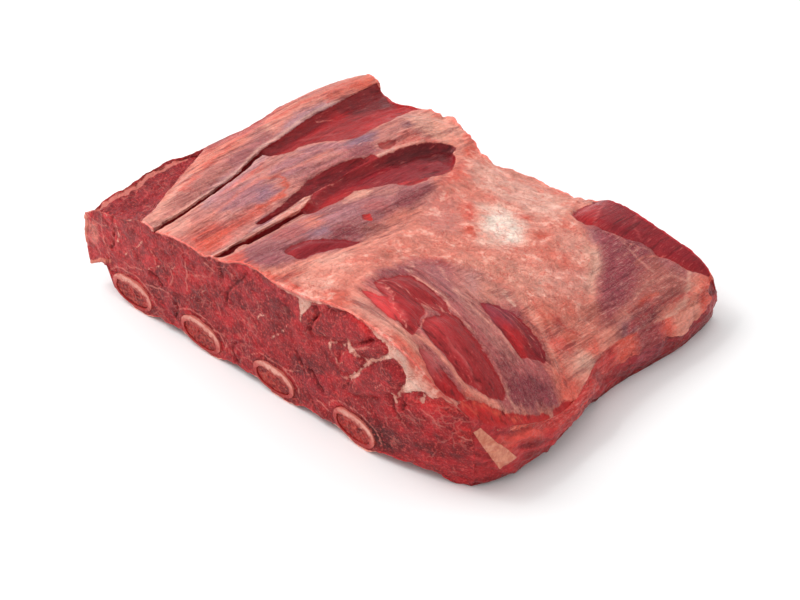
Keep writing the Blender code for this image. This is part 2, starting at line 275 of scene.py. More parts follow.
# The slab: outline in the plan, heights of its top, and how finely it is cut into cells.
slab = {
    "columns": 256,
    "rows": 176,
    "levels": 60,
    "front": [(-161, -72), (-53, -72), (20, -72), (51, -72), (70, -71), (85, -68), (99, -61)],
    "right": [
        (99, -61), (105, -52), (110, -32), (112, -12), (111, 4), (107, 20), (103, 32), (102, 48), (105, 78),
        (107, 103), (101, 131),
    ],
    "back": [
        (-150, 133), (-140, 132), (-129, 127), (-119, 122), (-110, 127), (-100, 129), (-85, 130), (-75, 128),
        (-60, 125), (-53, 121), (-46, 115), (-36, 119), (-28, 123), (-20, 129), (-5, 130), (5, 129),
        (14, 126), (22, 129), (40, 130), (65, 128), (80, 130), (90, 131), (101, 131),
    ],
    "left": [
        (-161, -72), (-158, -60), (-157, -50), (-156.5, -42), (-159.5, -32), (-158, -22), (-158, -14),
        (-155, -4), (-153.5, 8), (-154.5, 22), (-153.5, 35), (-154, 50), (-158, 68), (-157, 85), (-158, 102),
        (-155, 122), (-150, 133),
    ],
    "heightAcross": (-163, -118, -73, -38, 2, 40, 77, 97, 112),
    "heightBack": (-72, -20, 35, 85, 132),
    "heights": (
        (50, 58, 61, 69, 73, 79, 68, 50, 34),
        (54, 58, 62, 64, 68, 66, 54, 40, 24),
        (52, 56, 58, 58, 59, 56, 45, 34, 22),
        (51, 53, 54, 52, 48, 49, 40, 32, 22),
        (46, 47, 46, 36, 33, 43, 38, 30, 19),
    ),
    "wornCorner": {"deep": 4.0, "x": (-151, -12), "y": (-54, -18)},
}

# The underside rests on the right half of each rib, its two ends hang free, and its front edge is lifted
# between two places. A pair is where a step begins and its length, negative where it goes down.
underside = {
    "rest": (2, 10),
    "riseLeft": 5.5,
    "slopeLeft": 15,
    "riseRight": 4.0,
    "slopeRight": 13,
    "leftLift": 12,
    "leftEnd": (-143, -4),
    "tipDrop": 5,
    "tip": (-150, -13),
    "frontLift": 4.4,
    "front": (-32, -40),
    "spanFrom": (44, 13),
    "spanTo": (95, -15),
    "rightEnd": (75, 26),
    "sideBack": (-72, -61, -52, -37, -16, 4, 23, 34, 132),
    "sideLift": (0, 0, 2.2, 3, 5, 8.8, 6, 0, 0),
}

# The ribs: middle, section width and height, height of the middle, and tilt. They bow up in their middle.
ribs = [
    {"x": -127, "width": 31, "height": 17, "z": 10.6, "tilt": -0.07},
    {"x": -73, "width": 30, "height": 17, "z": 10.4, "tilt": -0.10},
    {"x": -19, "width": 29, "height": 16, "z": 10.2, "tilt": -0.07},
    {"x": 37, "width": 28, "height": 16, "z": 10.4, "tilt": -0.17},
]
ribLength = 204.0
ribBow = 1.6

# Narrow grooves in the top, each with stations of (x, y, width, depth) from front to back.
grooves = {
    "firstSlit": [
        (-104, -72.5, 1.7, 2.2), (-103.9, -68.2, 2.0, 2.6), (-104.4, -63, 2.7, 3.2), (-105, -52.2, 3.3, 3.6),
        (-107.6, -39.5, 3.3, 3.6), (-109.6, -27.2, 3.4, 4.0), (-112.7, -13.8, 3.7, 4.0),
        (-116.3, 0.5, 3.3, 3.6), (-121.4, 12.5, 3.0, 3.2), (-123.9, 23.2, 2.7, 2.9),
    ],
    "thirdSlit": [
        (-58.1, -71.1, 2.3, 2.2), (-57.6, -66.2, 2.7, 2.7), (-58.1, -58.3, 2.7, 3.2),
        (-57.7, -48.5, 2.7, 3.3), (-57.7, -34.6, 2.5, 3.3), (-58.2, -20.1, 2.2, 2.9),
        (-58.7, -10.3, 2.0, 2.2),
    ],
}

# The steep walls of two hollows. Two columns of the slab's cells follow them and the slits in front of them,
# so that the walls come out clean.
firstWall = [
    (-124.5, 23), (-126, 32), (-127.5, 41), (-129, 49), (-130.5, 56), (-132, 64), (-133, 71), (-133.7, 77),
    (-134.2, 83), (-134.8, 91), (-135.6, 98), (-137, 107), (-138, 114), (-138.6, 120), (-139.5, 129),
]
pocketWall = [
    (-58.5, -11), (-61, -4), (-64.5, 4), (-68.5, 14), (-71, 24), (-72.4, 33), (-73, 41), (-73, 49),
    (-72.6, 57), (-72.2, 65), (-71.8, 73), (-71.2, 80), (-70.2, 88), (-68.4, 96),
]
guides = [
    (50, [(-104, -73), *[station[:2] for station in grooves["firstSlit"][1:8]], (-121, 12.5), *firstWall]),
    (118, [
        (-58, -72), (-57.8, -66), (-57.8, -58), (-57.7, -48), (-57.8, -35), (-58.1, -20), *pocketWall,
        (-67, 102), (-66.5, 112), (-66, 126),
    ]),
]
guideSteps = (401, 81)

# Muscle that lies bare on the top, by outline.
bareMuscle = {
    "rawCorner": [
        (-170, -80), (-121, -80), (-118, -76), (-114, -72), (-117, -65), (-119, -58), (-123, -50),
        (-128, -42), (-133, -33), (-139, -23), (-143, -14), (-148, -4), (-153, 5), (-156, 12), (-170, 4),
    ],
    "firstField": [
        *firstWall, (-141, 147), (-126, 147), (-105, 140), (-99, 130), (-103, 127), (-105, 120), (-102, 110),
        (-98, 97), (-97, 86), (-96, 77), (-95, 68), (-96, 63), (-100, 56), (-107, 50), (-111, 45), (-113, 39),
        (-110, 31), (-112, 26), (-117, 22), (-122, 22),
    ],
    "betweenFields": [(-67, 2), (-62, 2), (-64, 14), (-67, 30), (-68, 62), (-78, 62), (-77, 40), (-75, 20)],
    "betweenBlades": [(42, -36), (48, -28), (58, -27), (58, -32), (50, -33), (44, -38)],
    "secondField": [
        (-68, -33), (-69, -25), (-70, -17), (-72, -9), (-74, -3), (-76, 5), (-80, 14), (-81, 23), (-81, 32),
        (-81, 41), (-80, 48), (-78, 53), (-76, 56), (-76, 50), (-76, 45), (-75, 37), (-74, 29), (-73, 18),
        (-71, 7), (-70, -1), (-68, -9), (-66, -18), (-66, -25), (-66, -32),
    ],
    "pocket": [
        *pocketWall, (-66, 102), (-62, 107), (-59, 108), (-56, 102), (-51, 99), (-47, 93), (-42, 85),
        (-41, 78), (-39, 68), (-40, 62), (-43, 57), (-45, 50), (-50, 44), (-54, 37), (-56, 31), (-59, 26),
        (-57, 21), (-56, 15), (-56, 8), (-57, 2), (-56, -6),
    ],
    "pocketBand": [
        (-46, 46), (-45, 52), (-43, 58), (-40, 62), (-38, 66), (-36, 60), (-37, 54), (-39, 48), (-43, 45),
    ],
    "wedge": [
        (-32, -50), (-33, -43), (-33, -38), (-31, -31), (-28, -25), (-25, -21), (-21, -17), (-18, -14),
        (-15, -11), (-16, -18), (-17, -24), (-19, -30), (-21, -37), (-22, -43), (-22, -48), (-24, -50),
        (-26, -49), (-29, -50),
    ],
    "redSpot": [(-32, 6), (-32, 9), (-30, 11), (-27, 9), (-26, 6), (-28, 3)],
    "redPatch": [(-82, 70), (-82, 75), (-81, 80), (-79, 82), (-76, 78), (-75, 73), (-78, 69)],
    "bladeA": [
        (22, -42), (22, -37), (23, -32), (24, -26), (27, -21), (33, -21), (40, -21), (47, -22), (53, -24),
        (57, -26), (56, -29), (50, -29), (47, -31), (43, -35), (50, -37), (53, -38), (56, -45), (60, -51),
        (62, -58), (58, -58), (52, -56), (46, -52), (38, -48), (30, -46),
    ],
    "bladeSliver": [
        (23, -52), (27, -49), (31, -49), (37, -48), (43, -50), (48, -52), (52, -55), (51, -58), (47, -59),
        (41, -58), (34, -56), (29, -54),
    ],
    "bladeB": [
        (57, -44), (56, -39), (57, -34), (58, -28), (61, -26), (64, -25), (68, -27), (72, -27), (76, -27),
        (81, -29), (85, -29), (89, -30), (93, -31), (96, -32), (99, -33), (101, -36), (99, -40), (97, -44),
        (94, -47), (91, -49), (88, -51), (83, -51), (79, -51), (74, -51), (69, -51), (64, -51), (60, -50),
    ],
    "bladeC": [
        (57, -5), (59, 1), (62, 4), (66, 6), (70, 8), (74, 9), (78, 9), (83, 8), (87, 7), (91, 5), (95, 3),
        (95, 0), (92, -2), (90, -6), (89, -10), (85, -10), (81, -9), (77, -9), (72, -8), (68, -7), (63, -6),
    ],
    "bladeD": [
        (69, -61), (72, -59), (75, -59), (79, -59), (83, -58), (86, -57), (89, -57), (92, -56), (94, -56),
        (93, -60), (92, -64), (90, -66), (87, -67), (83, -66), (79, -66), (75, -64), (71, -63),
    ],
    "lowBand": [
        (94, -63), (94, -57), (97, -51), (100, -45), (104, -40), (107, -32), (109, -24), (110, -17),
        (112, -14), (110, -9), (110, -1), (112, 6), (114, 11), (117, 16), (129, 1), (134, -28), (133, -57),
        (130, -74), (109, -70), (99, -67),
    ],
    "notchRed": [
        (109, 15), (109, 20), (108, 26), (109, 32), (110, 38), (111, 45), (113, 49), (116, 41), (117, 33),
        (118, 25), (117, 18), (117, 11), (113, 10), (110, 12),
    ],
    "backLobe": [
        (30, 101), (27, 109), (25, 117), (25, 124), (18, 141), (39, 148), (70, 152), (97, 152), (112, 137),
        (103, 130), (100, 126), (98, 124), (95, 121), (91, 119), (87, 117), (83, 115), (80, 112), (76, 113),
        (72, 113), (67, 112), (62, 109), (57, 106), (53, 105), (49, 103), (44, 102), (41, 99), (37, 100),
    ],
}

# Where bare muscle lies lower: its deep edge, the depth there and at the far side, and how far it slopes.
hollows = {
    "firstField": {
        "edge": [
            (-125, 24), (-127, 33), (-129, 42), (-130, 56), (-134, 72), (-133, 84), (-136, 99), (-139, 115),
            (-140, 129), (-143, 144),
        ],
        "deep": 2.8, "shallow": 0.9, "width": 20,
    },
    "secondField": {
        "edge": [(-66, -32), (-68, -16), (-70, -1), (-73, 18), (-75, 37), (-76, 52)],
        "deep": 3.0, "shallow": 0.6, "width": 9,
    },
    "pocket": {
        "edge": [
            (-59, -12), (-64, 2), (-69, 14), (-72, 32), (-73, 49), (-72, 65), (-72, 80), (-69, 96),
            (-63, 107), (-55, 104),
        ],
        "deep": 3.6, "shallow": 1.3, "width": 20,
    },
}

# The fat on the top, and how deep it reaches at the sawn face and inside.
fatCap = {
    "outline": [
        (-13, -80), (-18, -58), (-16, -42), (-11, -22), (-7, 0), (-12, 20), (-20, 40), (-30, 62), (-39, 80),
        (-44, 94), (-53, 110), (-71, 112), (-89, 120), (-97, 142), (18, 142), (21, 118), (31, 104), (46, 95),
        (62, 79), (77, 56), (87, 34), (80, 21), (52, 14), (29, 8), (21, -10), (20, -42), (29, -60),
        (59, -63), (81, -61), (84, -80),
    ],
    "frontDepth": [(-18, 4), (5, 8), (19, 4), (45, 4), (58, 8), (70, 14), (80, 11), (92, 7)],
    "innerDepth": 5.5,
    "blend": 26.0,
    "lid": 110.0,
    "over": 2,
    "raggedness": 1.3,
    "pieces": 8,
    "cells": (70, 60, 1),
    "corner": (-116, -90),
    "span": (232, 240),
}
tendonPatch = {"size": (12, 10, 28), "at": (107, -51, 25), "facing": -0.49, "tilt": 0.60, "top": 0.4}

# What covers the top, fat or silverskin: softness in mm, strength and outline of each stroke.
coverAreas = [
    ("pink", 5, 1, [
        (-116, -78), (-116, -65), (-124, -47), (-139, -24), (-152, 6), (-153, 33), (-161, 72), (-157, 100),
        (-150, 120), (-146, 134), (-139, 128), (-137, 107), (-133, 84), (-133, 69), (-128, 40), (-125, 24),
        (-117, 0), (-111, -28), (-107, -52), (-103, -74),
    ]),
    ("pale", 4, 0.8, [
        (-111, -71), (-120, -54), (-127, -43), (-132, -32), (-140, -18), (-147, -2), (-137, -7), (-130, -20),
        (-125, -32), (-119, -44), (-113, -54), (-108, -67),
    ]),
    ("greyPink", 5, 0.9, [
        (-111, -56), (-117, -43), (-123, -31), (-127, -17), (-129, -7), (-130, 1), (-122, -2), (-117, -18),
        (-113, -32), (-111, -46), (-109, -56),
    ]),
    ("salmon", 5, 0.85, [
        (-138, -21), (-145, -4), (-151, 11), (-148, 21), (-145, 30), (-136, 25), (-132, 11), (-131, 0),
        (-131, -12), (-127, -23),
    ]),
    ("rose", 4, 0.9, [
        (-153, 3), (-163, 28), (-160, 40), (-161, 58), (-164, 74), (-147, 64), (-146, 43), (-144, 26),
        (-148, 18), (-147, 7),
    ]),
    ("dusk", 5, 0.9, [
        (-120, -3), (-129, -1), (-133, 14), (-135, 28), (-136, 40), (-130, 40), (-128, 30), (-125, 19),
        (-121, 6),
    ]),
    ("peach", 4, 0.9, [
        (-143, 41), (-156, 63), (-154, 75), (-149, 86), (-150, 102), (-149, 117), (-143, 130), (-138, 124),
        (-140, 108), (-140, 91), (-141, 76), (-141, 65), (-138, 52), (-136, 41),
    ]),
    ("lightLilac", 3, 0.95, [
        (-136, 51), (-140, 64), (-140, 76), (-139, 88), (-138, 96), (-136, 100), (-134, 91), (-134, 82),
        (-135, 73), (-132, 63), (-130, 52), (-130, 44),
    ]),
    ("coral", 4, 0.75, [(-147, 97), (-148, 108), (-147, 115), (-141, 107), (-139, 95), (-139, 88)]),
    ("orange", 4, 0.85, [(-151, 119), (-145, 135), (-138, 129), (-138, 118), (-141, 111)]),
    ("coral", 3, 0.7, [(-125, -35), (-127, -28), (-121, -32), (-119, -38)]),
    ("pale", 2, 0.8, [(-145, 43), (-144, 48), (-136, 44), (-136, 40)]),
    ("pink", 5, 1, [
        (-100, -73), (-103, -42), (-116, -1), (-122, 21), (-109, 30), (-113, 41), (-95, 62), (-97, 86),
        (-102, 110), (-100, 128), (-95, 129), (-77, 107), (-66, 104), (-72, 80), (-72, 65), (-77, 52),
        (-81, 32), (-76, 5), (-70, -15), (-67, -34), (-60, -60), (-58, -71), (-74, -74),
    ]),
    ("pale", 4, 0.6, [(-98, -73), (-99, -64), (-100, -54), (-92, -58), (-90, -68), (-89, -75)]),
    ("coral", 6, 0.9, [
        (-84, -69), (-86, -57), (-83, -50), (-79, -47), (-76, -41), (-71, -47), (-68, -57), (-64, -67),
        (-69, -71), (-76, -73),
    ]),
    ("orange", 4, 0.6, [(-78, -61), (-76, -51), (-71, -53), (-68, -65), (-71, -68)]),
    ("tan", 5, 0.7, [(-90, -64), (-93, -52), (-90, -48), (-83, -57), (-82, -65)]),
    ("greyPink", 5, 0.8, [(-93, -57), (-98, -43), (-98, -33), (-90, -38), (-88, -48), (-87, -57)]),
    ("coral", 3, 0.8, [
        (-105, -35), (-107, -28), (-109, -21), (-110, -12), (-111, -4), (-110, 5), (-113, 12), (-107, 9),
        (-105, 1), (-105, -7), (-103, -16), (-102, -24), (-99, -32), (-100, -37),
    ]),
    ("lilac", 6, 1, [
        (-97, -33), (-100, -21), (-101, -11), (-97, -3), (-88, -4), (-83, -6), (-80, -14), (-80, -22),
        (-81, -30), (-84, -38), (-90, -41),
    ]),
    ("blueGrey", 5, 0.8, [(-89, -13), (-87, -6), (-80, -9), (-78, -17), (-80, -23)]),
    ("lilac", 5, 0.9, [
        (-102, 8), (-104, 20), (-101, 29), (-94, 31), (-88, 24), (-87, 15), (-88, 6), (-92, 1),
    ]),
    ("dusk", 5, 0.9, [
        (-88, 17), (-89, 28), (-88, 39), (-86, 48), (-82, 48), (-83, 38), (-84, 27), (-83, 16), (-82, 6),
    ]),
    ("plum", 4, 0.7, [(-82, 13), (-83, 25), (-83, 35), (-82, 44), (-80, 39), (-81, 27), (-79, 15)]),
    ("coral", 5, 0.8, [
        (-78, -39), (-79, -30), (-78, -23), (-74, -23), (-72, -29), (-72, -37), (-71, -43), (-72, -49),
    ]),
    ("lilac", 4, 0.9, [
        (-107, 35), (-104, 46), (-97, 55), (-94, 62), (-93, 72), (-88, 71), (-85, 61), (-87, 52), (-92, 43),
        (-95, 34), (-99, 27),
    ]),
    ("blueGrey", 4, 1, [(-94, 61), (-94, 70), (-93, 78), (-88, 75), (-85, 65), (-86, 57), (-89, 53)]),
    ("heather", 4, 0.9, [(-88, 51), (-86, 60), (-84, 70), (-77, 68), (-77, 59), (-80, 51), (-84, 47)]),
    ("peach", 4, 0.7, [(-96, 85), (-96, 97), (-95, 102), (-88, 93), (-89, 84)]),
    ("greyPink", 4, 0.9, [(-90, 83), (-91, 94), (-92, 101), (-86, 96), (-84, 87), (-84, 80)]),
    ("beige", 6, 0.9, [
        (-97, 107), (-99, 123), (-94, 126), (-85, 129), (-72, 119), (-65, 107), (-69, 103), (-79, 101),
        (-85, 101),
    ]),
    ("slate", 3, 1, [(-89, 97), (-90, 103), (-85, 102), (-83, 97), (-85, 94)]),
    ("orange", 3, 0.7, [(-82, 86), (-80, 97), (-75, 97), (-76, 88), (-78, 82)]),
    ("coral", 4, 0.9, [(-76, 82), (-74, 92), (-70, 101), (-68, 97), (-72, 87), (-74, 76)]),
    ("orange", 4, 0.7, [(-97, 130), (-91, 131), (-85, 129), (-86, 123), (-91, 124)]),
    ("coral", 5, 0.8, [(-71, 126), (-64, 130), (-54, 124), (-61, 120)]),
    ("pale", 5, 0.7, [(-85, 129), (-73, 128), (-64, 123), (-64, 115), (-73, 117)]),
    ("orange", 3, 1, [(-57, 113), (-59, 121), (-53, 121), (-48, 111), (-49, 105)]),
    ("coral", 6, 0.7, [
        (-42, 86), (-47, 99), (-41, 97), (-29, 82), (-28, 72), (-28, 64), (-31, 61), (-37, 71),
    ]),
    ("pink", 3, 1, [
        (-59, -69), (-63, -55), (-65, -36), (-65, -19), (-69, -2), (-61, -7), (-59, -15), (-58, -30),
        (-59, -47), (-58, -62),
    ]),
    ("blueGrey", 3, 0.8, [(-65, -43), (-67, -31), (-67, -21), (-60, -32), (-60, -42)]),
    ("orange", 2, 0.7, [(-61, -22), (-63, -14), (-61, -11), (-59, -15), (-59, -21)]),
    ("dusk", 5, 1, [
        (-55, -70), (-56, -50), (-55, -24), (-57, -12), (-56, 1), (-56, 20), (-56, 31), (-49, 43), (-39, 50),
        (-36, 64), (-28, 55), (-25, 45), (-23, 34), (-24, 23), (-21, 8), (-15, -11), (-17, -32), (-20, -50),
        (-23, -61), (-29, -71), (-38, -73),
    ]),
    ("coral", 3, 0.9, [(-55, -67), (-53, -60), (-40, -64), (-31, -69), (-35, -73), (-44, -73)]),
    ("heather", 5, 0.9, [
        (-50, -60), (-46, -51), (-38, -46), (-33, -44), (-27, -52), (-24, -60), (-27, -67), (-34, -69),
    ]),
    ("rose", 4, 0.9, [(-56, -36), (-52, -28), (-47, -23), (-38, -28), (-35, -37), (-39, -43), (-47, -43)]),
    ("salmon", 4, 0.8, [(-52, -19), (-52, -10), (-49, -6), (-41, -11), (-39, -19), (-42, -24)]),
    ("blueGrey", 4, 0.9, [(-38, -27), (-36, -19), (-35, -15), (-29, -19), (-30, -25), (-33, -32)]),
    ("lilac", 5, 0.9, [
        (-50, -6), (-48, 4), (-44, 9), (-39, 13), (-33, 6), (-34, -4), (-35, -12), (-41, -14),
    ]),
    ("plum", 4, 0.9, [(-32, -16), (-32, -6), (-29, -1), (-19, -9), (-21, -16), (-26, -21)]),
    ("beige", 4, 0.9, [(-56, 20), (-56, 29), (-53, 35), (-46, 29), (-46, 20), (-48, 13), (-50, 9)]),
    ("greyPink", 4, 0.8, [(-53, 35), (-46, 41), (-41, 45), (-36, 37), (-39, 30), (-45, 28)]),
    ("rose", 5, 0.8, [(-41, 21), (-35, 27), (-29, 26), (-26, 21), (-30, 14), (-36, 13)]),
    ("plum", 5, 0.85, [
        (-35, 35), (-34, 46), (-32, 56), (-30, 59), (-26, 49), (-24, 38), (-25, 30), (-30, 28),
    ]),
    ("tan", 5, 0.8, [(-26, 16), (-26, 26), (-23, 34), (-18, 35), (-13, 23), (-15, 13), (-19, 8)]),
    ("brown", 4, 0.8, [(-25, 0), (-25, 9), (-17, 7), (-14, -3), (-18, -7)]),
    ("greyPink", 4, 0.8, [(-26, 43), (-28, 56), (-26, 62), (-20, 54), (-18, 42), (-22, 39)]),
    ("orange", 3, 0.8, [(-21, -71), (-17, -64), (-15, -55), (-10, -59), (-10, -67), (-15, -72)]),
    ("salmon", 4, 0.7, [(-21, -52), (-21, -43), (-20, -35), (-14, -44), (-15, -52)]),
    ("pale", 8, 0.9, [(-18, -48), (-16, -34), (-10, -25), (5, -40), (14, -59), (5, -67), (-7, -62)]),
    ("cream", 3, 0.8, [(-2, -53), (4, -53), (10, -61), (4, -60)]),
    ("cream", 4, 0.8, [(1, -70), (7, -71), (16, -78), (16, -83), (9, -79)]),
    ("orange", 5, 0.75, [(16, -73), (13, -62), (19, -56), (29, -61), (31, -71), (25, -76)]),
    ("tan", 5, 0.6, [(0, -19), (5, -5), (14, -12), (14, -26), (6, -28)]),
    ("orange", 3, 0.6, [(9, -7), (14, -7), (19, -13), (16, -14)]),
    ("pale", 6, 0.8, [(22, -56), (32, -58), (45, -59), (54, -61), (58, -67), (48, -68), (35, -65)]),
    ("rose", 5, 1, [(71, -64), (78, -65), (84, -66), (89, -66), (90, -70), (86, -71), (80, -70)]),
    ("orange", 4, 0.85, [(54, -69), (58, -67), (65, -67), (66, -71), (62, -73)]),
    ("orange", 4, 0.95, [
        (67, -71), (71, -70), (78, -70), (85, -71), (89, -71), (87, -74), (81, -75), (74, -74),
    ]),
    ("cream", 4, 0.95, [
        (64, -78), (67, -73), (72, -75), (79, -76), (85, -78), (84, -82), (79, -82), (72, -80),
    ]),
    ("beige", 4, 0.95, [(55, -60), (61, -60), (68, -62), (72, -65), (68, -68), (62, -67)]),
    ("rose", 6, 1, [
        (20, -50), (18, -39), (16, -23), (14, -7), (19, 1), (27, 8), (40, 15), (51, 18), (61, 16), (71, 14),
        (82, 12), (91, 9), (100, 3), (106, -1), (109, -8), (110, -20), (104, -37), (95, -55), (91, -63),
        (84, -66), (72, -61), (60, -58), (42, -59),
    ]),
    ("mauve", 4, 0.8, [(17, -33), (18, -19), (21, -14), (26, -20), (24, -29), (22, -36)]),
    ("tan", 3, 0.8, [(43, -36), (46, -31), (51, -30), (53, -32), (53, -38), (48, -37)]),
    ("dusk", 5, 0.7, [
        (20, -4), (26, 1), (36, -1), (46, -6), (55, -9), (56, -17), (48, -16), (37, -13), (28, -10),
    ]),
    ("blueGrey", 6, 0.6, [(36, 7), (39, 15), (47, 7), (53, -2), (47, -3)]),
    ("tan", 6, 0.7, [(45, 10), (49, 17), (58, 10), (57, 1), (52, 0)]),
    ("greyPink", 5, 0.8, [
        (52, -13), (57, -8), (65, -9), (74, -11), (80, -12), (87, -13), (89, -20), (83, -21), (75, -21),
        (66, -19), (59, -18),
    ]),
    ("plum", 4, 0.6, [(84, -21), (89, -18), (94, -21), (93, -27), (89, -26)]),
    ("plum", 4, 0.8, [(68, 9), (73, 12), (79, 11), (79, 8), (72, 7)]),
    ("mauve", 3, 1, [
        (95, -25), (95, -18), (96, -12), (99, -8), (102, -6), (105, -5), (108, -6), (109, -12), (109, -18),
        (108, -25), (106, -31), (104, -35), (101, -34), (98, -31),
    ]),
    ("plum", 4, 0.8, [(96, -25), (96, -17), (99, -11), (103, -9), (104, -15), (101, -23), (99, -30)]),
    ("salmon", 5, 0.9, [
        (69, 15), (77, 14), (88, 11), (96, 7), (104, 3), (104, -2), (97, 0), (88, 5), (79, 8),
    ]),
    ("mauve", 5, 0.6, [(98, -3), (103, -2), (107, -3), (109, -9), (104, -8)]),
    ("orange", 3, 0.9, [(91, -55), (95, -48), (99, -43), (100, -46), (96, -52), (94, -57)]),
    ("pink", 8, 0.7, [(-23, 48), (-18, 62), (8, 37), (6, 23), (-6, 24)]),
    ("pale", 10, 0.7, [(-46, 115), (-16, 132), (18, 106), (31, 73), (-3, 90), (-17, 84)]),
    ("beige", 8, 0.8, [(-10, 124), (15, 120), (31, 101), (33, 84), (18, 89)]),
    ("cream", 8, 0.9, [(-8, 67), (-2, 80), (9, 80), (24, 71), (35, 55), (32, 39), (24, 32), (9, 47)]),
    ("ivory", 5, 0.95, [(5, 62), (9, 70), (21, 67), (32, 56), (31, 47), (22, 47), (13, 50)]),
    ("coral", 4, 0.8, [(-10, 59), (-9, 65), (0, 58), (6, 50), (3, 46)]),
    ("orange", 3, 0.9, [(6, 42), (8, 48), (14, 43), (18, 33), (12, 35)]),
    ("orange", 2, 0.8, [(13, 72), (15, 80), (19, 83), (21, 77), (17, 72)]),
    ("orange", 2, 0.8, [(33, 66), (35, 73), (39, 70), (36, 63)]),
    ("pale", 8, 0.9, [(37, 82), (49, 92), (60, 84), (65, 73), (58, 66), (47, 67)]),
    ("stone", 5, 0.9, [(56, 81), (60, 91), (67, 83), (75, 66), (78, 58), (72, 57), (64, 72)]),
    ("coral", 4, 0.6, [(51, 66), (55, 69), (60, 60), (57, 58)]),
    ("pink", 8, 0.8, [(56, 49), (67, 67), (75, 55), (72, 40), (65, 35)]),
    ("cream", 5, 0.8, [(55, 40), (60, 44), (66, 38), (67, 29), (61, 32)]),
    ("tan", 5, 0.6, [(40, 31), (49, 35), (59, 36), (63, 28), (56, 22), (47, 22)]),
    ("orange", 2.5, 0.9, [(41, 32), (43, 37), (46, 34), (44, 31)]),
    ("coral", 6, 0.7, [(72, 37), (78, 51), (83, 50), (82, 41), (78, 34)]),
    ("salmon", 5, 0.8, [(69, 27), (72, 33), (85, 21), (93, 14), (101, 9), (99, 5), (89, 10), (78, 16)]),
    ("brown", 6, 0.9, [(80, 45), (83, 58), (90, 59), (96, 54), (93, 46), (87, 40)]),
    ("peach", 5, 0.9, [(76, 33), (83, 36), (91, 41), (95, 43), (95, 35), (89, 30), (83, 27)]),
    ("blood", 3, 0.9, [(78, 25), (81, 29), (85, 26), (84, 22), (82, 22)]),
    ("orange", 5, 0.95, [(86, 26), (89, 31), (94, 30), (97, 22), (94, 17), (89, 19)]),
    ("stone", 5, 0.95, [(97, 22), (104, 33), (107, 31), (106, 22), (102, 16)]),
    ("coral", 4, 0.8, [(94, 36), (98, 41), (103, 36), (102, 30), (97, 28)]),
    ("peach", 5, 0.9, [(96, 43), (100, 49), (105, 48), (111, 45), (109, 36), (104, 35), (99, 39)]),
    ("coral", 5, 0.9, [(99, 5), (107, 13), (113, 11), (113, 1), (108, -3)]),
    ("heather", 8, 1, [
        (42, 97), (50, 103), (58, 106), (67, 112), (75, 114), (78, 107), (78, 99), (82, 85), (89, 72),
        (88, 61), (83, 58), (74, 69), (67, 82), (58, 91), (51, 90),
    ]),
    ("plum", 5, 0.6, [(67, 82), (68, 92), (71, 100), (77, 90), (82, 77), (80, 70), (73, 73)]),
    ("lilac", 4, 0.6, [(46, 96), (53, 100), (58, 94), (55, 88)]),
    ("russet", 8, 0.95, [
        (78, 99), (79, 110), (84, 115), (92, 118), (97, 117), (101, 109), (103, 97), (100, 87), (96, 78),
        (92, 74), (84, 83),
    ]),
    ("dusk", 5, 0.7, [(81, 112), (88, 116), (95, 121), (98, 115), (93, 110), (86, 107)]),
    ("rose", 5, 0.8, [(89, 77), (95, 85), (98, 96), (101, 90), (99, 78), (96, 69)]),
    ("slate", 5, 0.9, [(96, 57), (98, 68), (102, 70), (106, 61), (110, 53), (107, 48), (101, 51)]),
    ("tan", 5, 0.9, [
        (100, 78), (101, 92), (102, 104), (103, 113), (106, 113), (107, 103), (108, 91), (108, 78),
        (107, 70), (103, 72),
    ]),
    ("purple", 4, 0.9, [(103, 60), (106, 66), (111, 64), (112, 55), (108, 52)]),
    ("salmon", 5, 0.95, [
        (99, 118), (100, 125), (103, 131), (107, 126), (109, 117), (109, 108), (105, 106), (101, 112),
    ]),
    ("orange", 3, 0.8, [(104, 119), (106, 126), (110, 119), (108, 113)]),
    ("pale", 8, 0.6, [(33, 32), (45, 41), (59, 55), (71, 64), (81, 54), (83, 38), (70, 30), (56, 24)]),
    ("mauve", 5, 0.85, [
        (42, 101), (44, 117), (55, 121), (71, 120), (80, 106), (86, 89), (92, 71), (94, 54), (94, 44),
        (87, 50), (78, 64), (70, 78), (57, 90),
    ]),
    ("heather", 5, 0.7, [(70, 119), (88, 127), (98, 135), (99, 124), (93, 115), (83, 108)]),
    ("russet", 7, 0.6, [
        (78, 100), (84, 112), (95, 119), (105, 108), (105, 91), (101, 71), (94, 64), (88, 85),
    ]),
    ("tan", 5, 0.6, [(100, 90), (104, 107), (108, 111), (109, 101), (108, 84), (104, 82)]),
    ("coral", 4, 0.7, [(98, 126), (101, 140), (107, 135), (109, 122), (107, 112)]),
    ("purple", 4, 0.8, [(96, 69), (97, 81), (102, 84), (106, 76), (105, 67), (100, 65)]),
    ("scarlet", 4, 0.5, [(83, 17), (91, 22), (97, 21), (95, 12), (87, 10)]),
    ("lightLilac", 4, 0.8, [
        (-109, -42), (-118, -10), (-127, 26), (-134, 62), (-137, 82), (-132, 83), (-129, 57), (-117, 21),
        (-105, -15), (-96, -42),
    ]),
    ("tan", 6, 0.6, [(71, 38), (79, 55), (90, 53), (99, 38), (94, 22), (83, 23)]),
    ("ivory", 9, 0.6, [(1, 66), (2, 76), (9, 77), (23, 69), (33, 53), (31, 46), (22, 46), (12, 52)]),
    ("cream", 8, 0.5, [
        (-46, 106), (-27, 109), (-6, 118), (18, 111), (31, 89), (15, 85), (-5, 84), (-24, 84),
    ]),
    ("salmon", 6, 0.35, [(-20, -50), (0, -43), (25, -46), (46, -52), (40, -56), (15, -58), (-9, -58)]),
    ("beige", 8, 0.45, [(28, 10), (35, 29), (51, 38), (67, 22), (64, 3), (52, -13)]),
]
edgeFat = [(62, -68), (70, -68), (76, -66), (84, -64)]
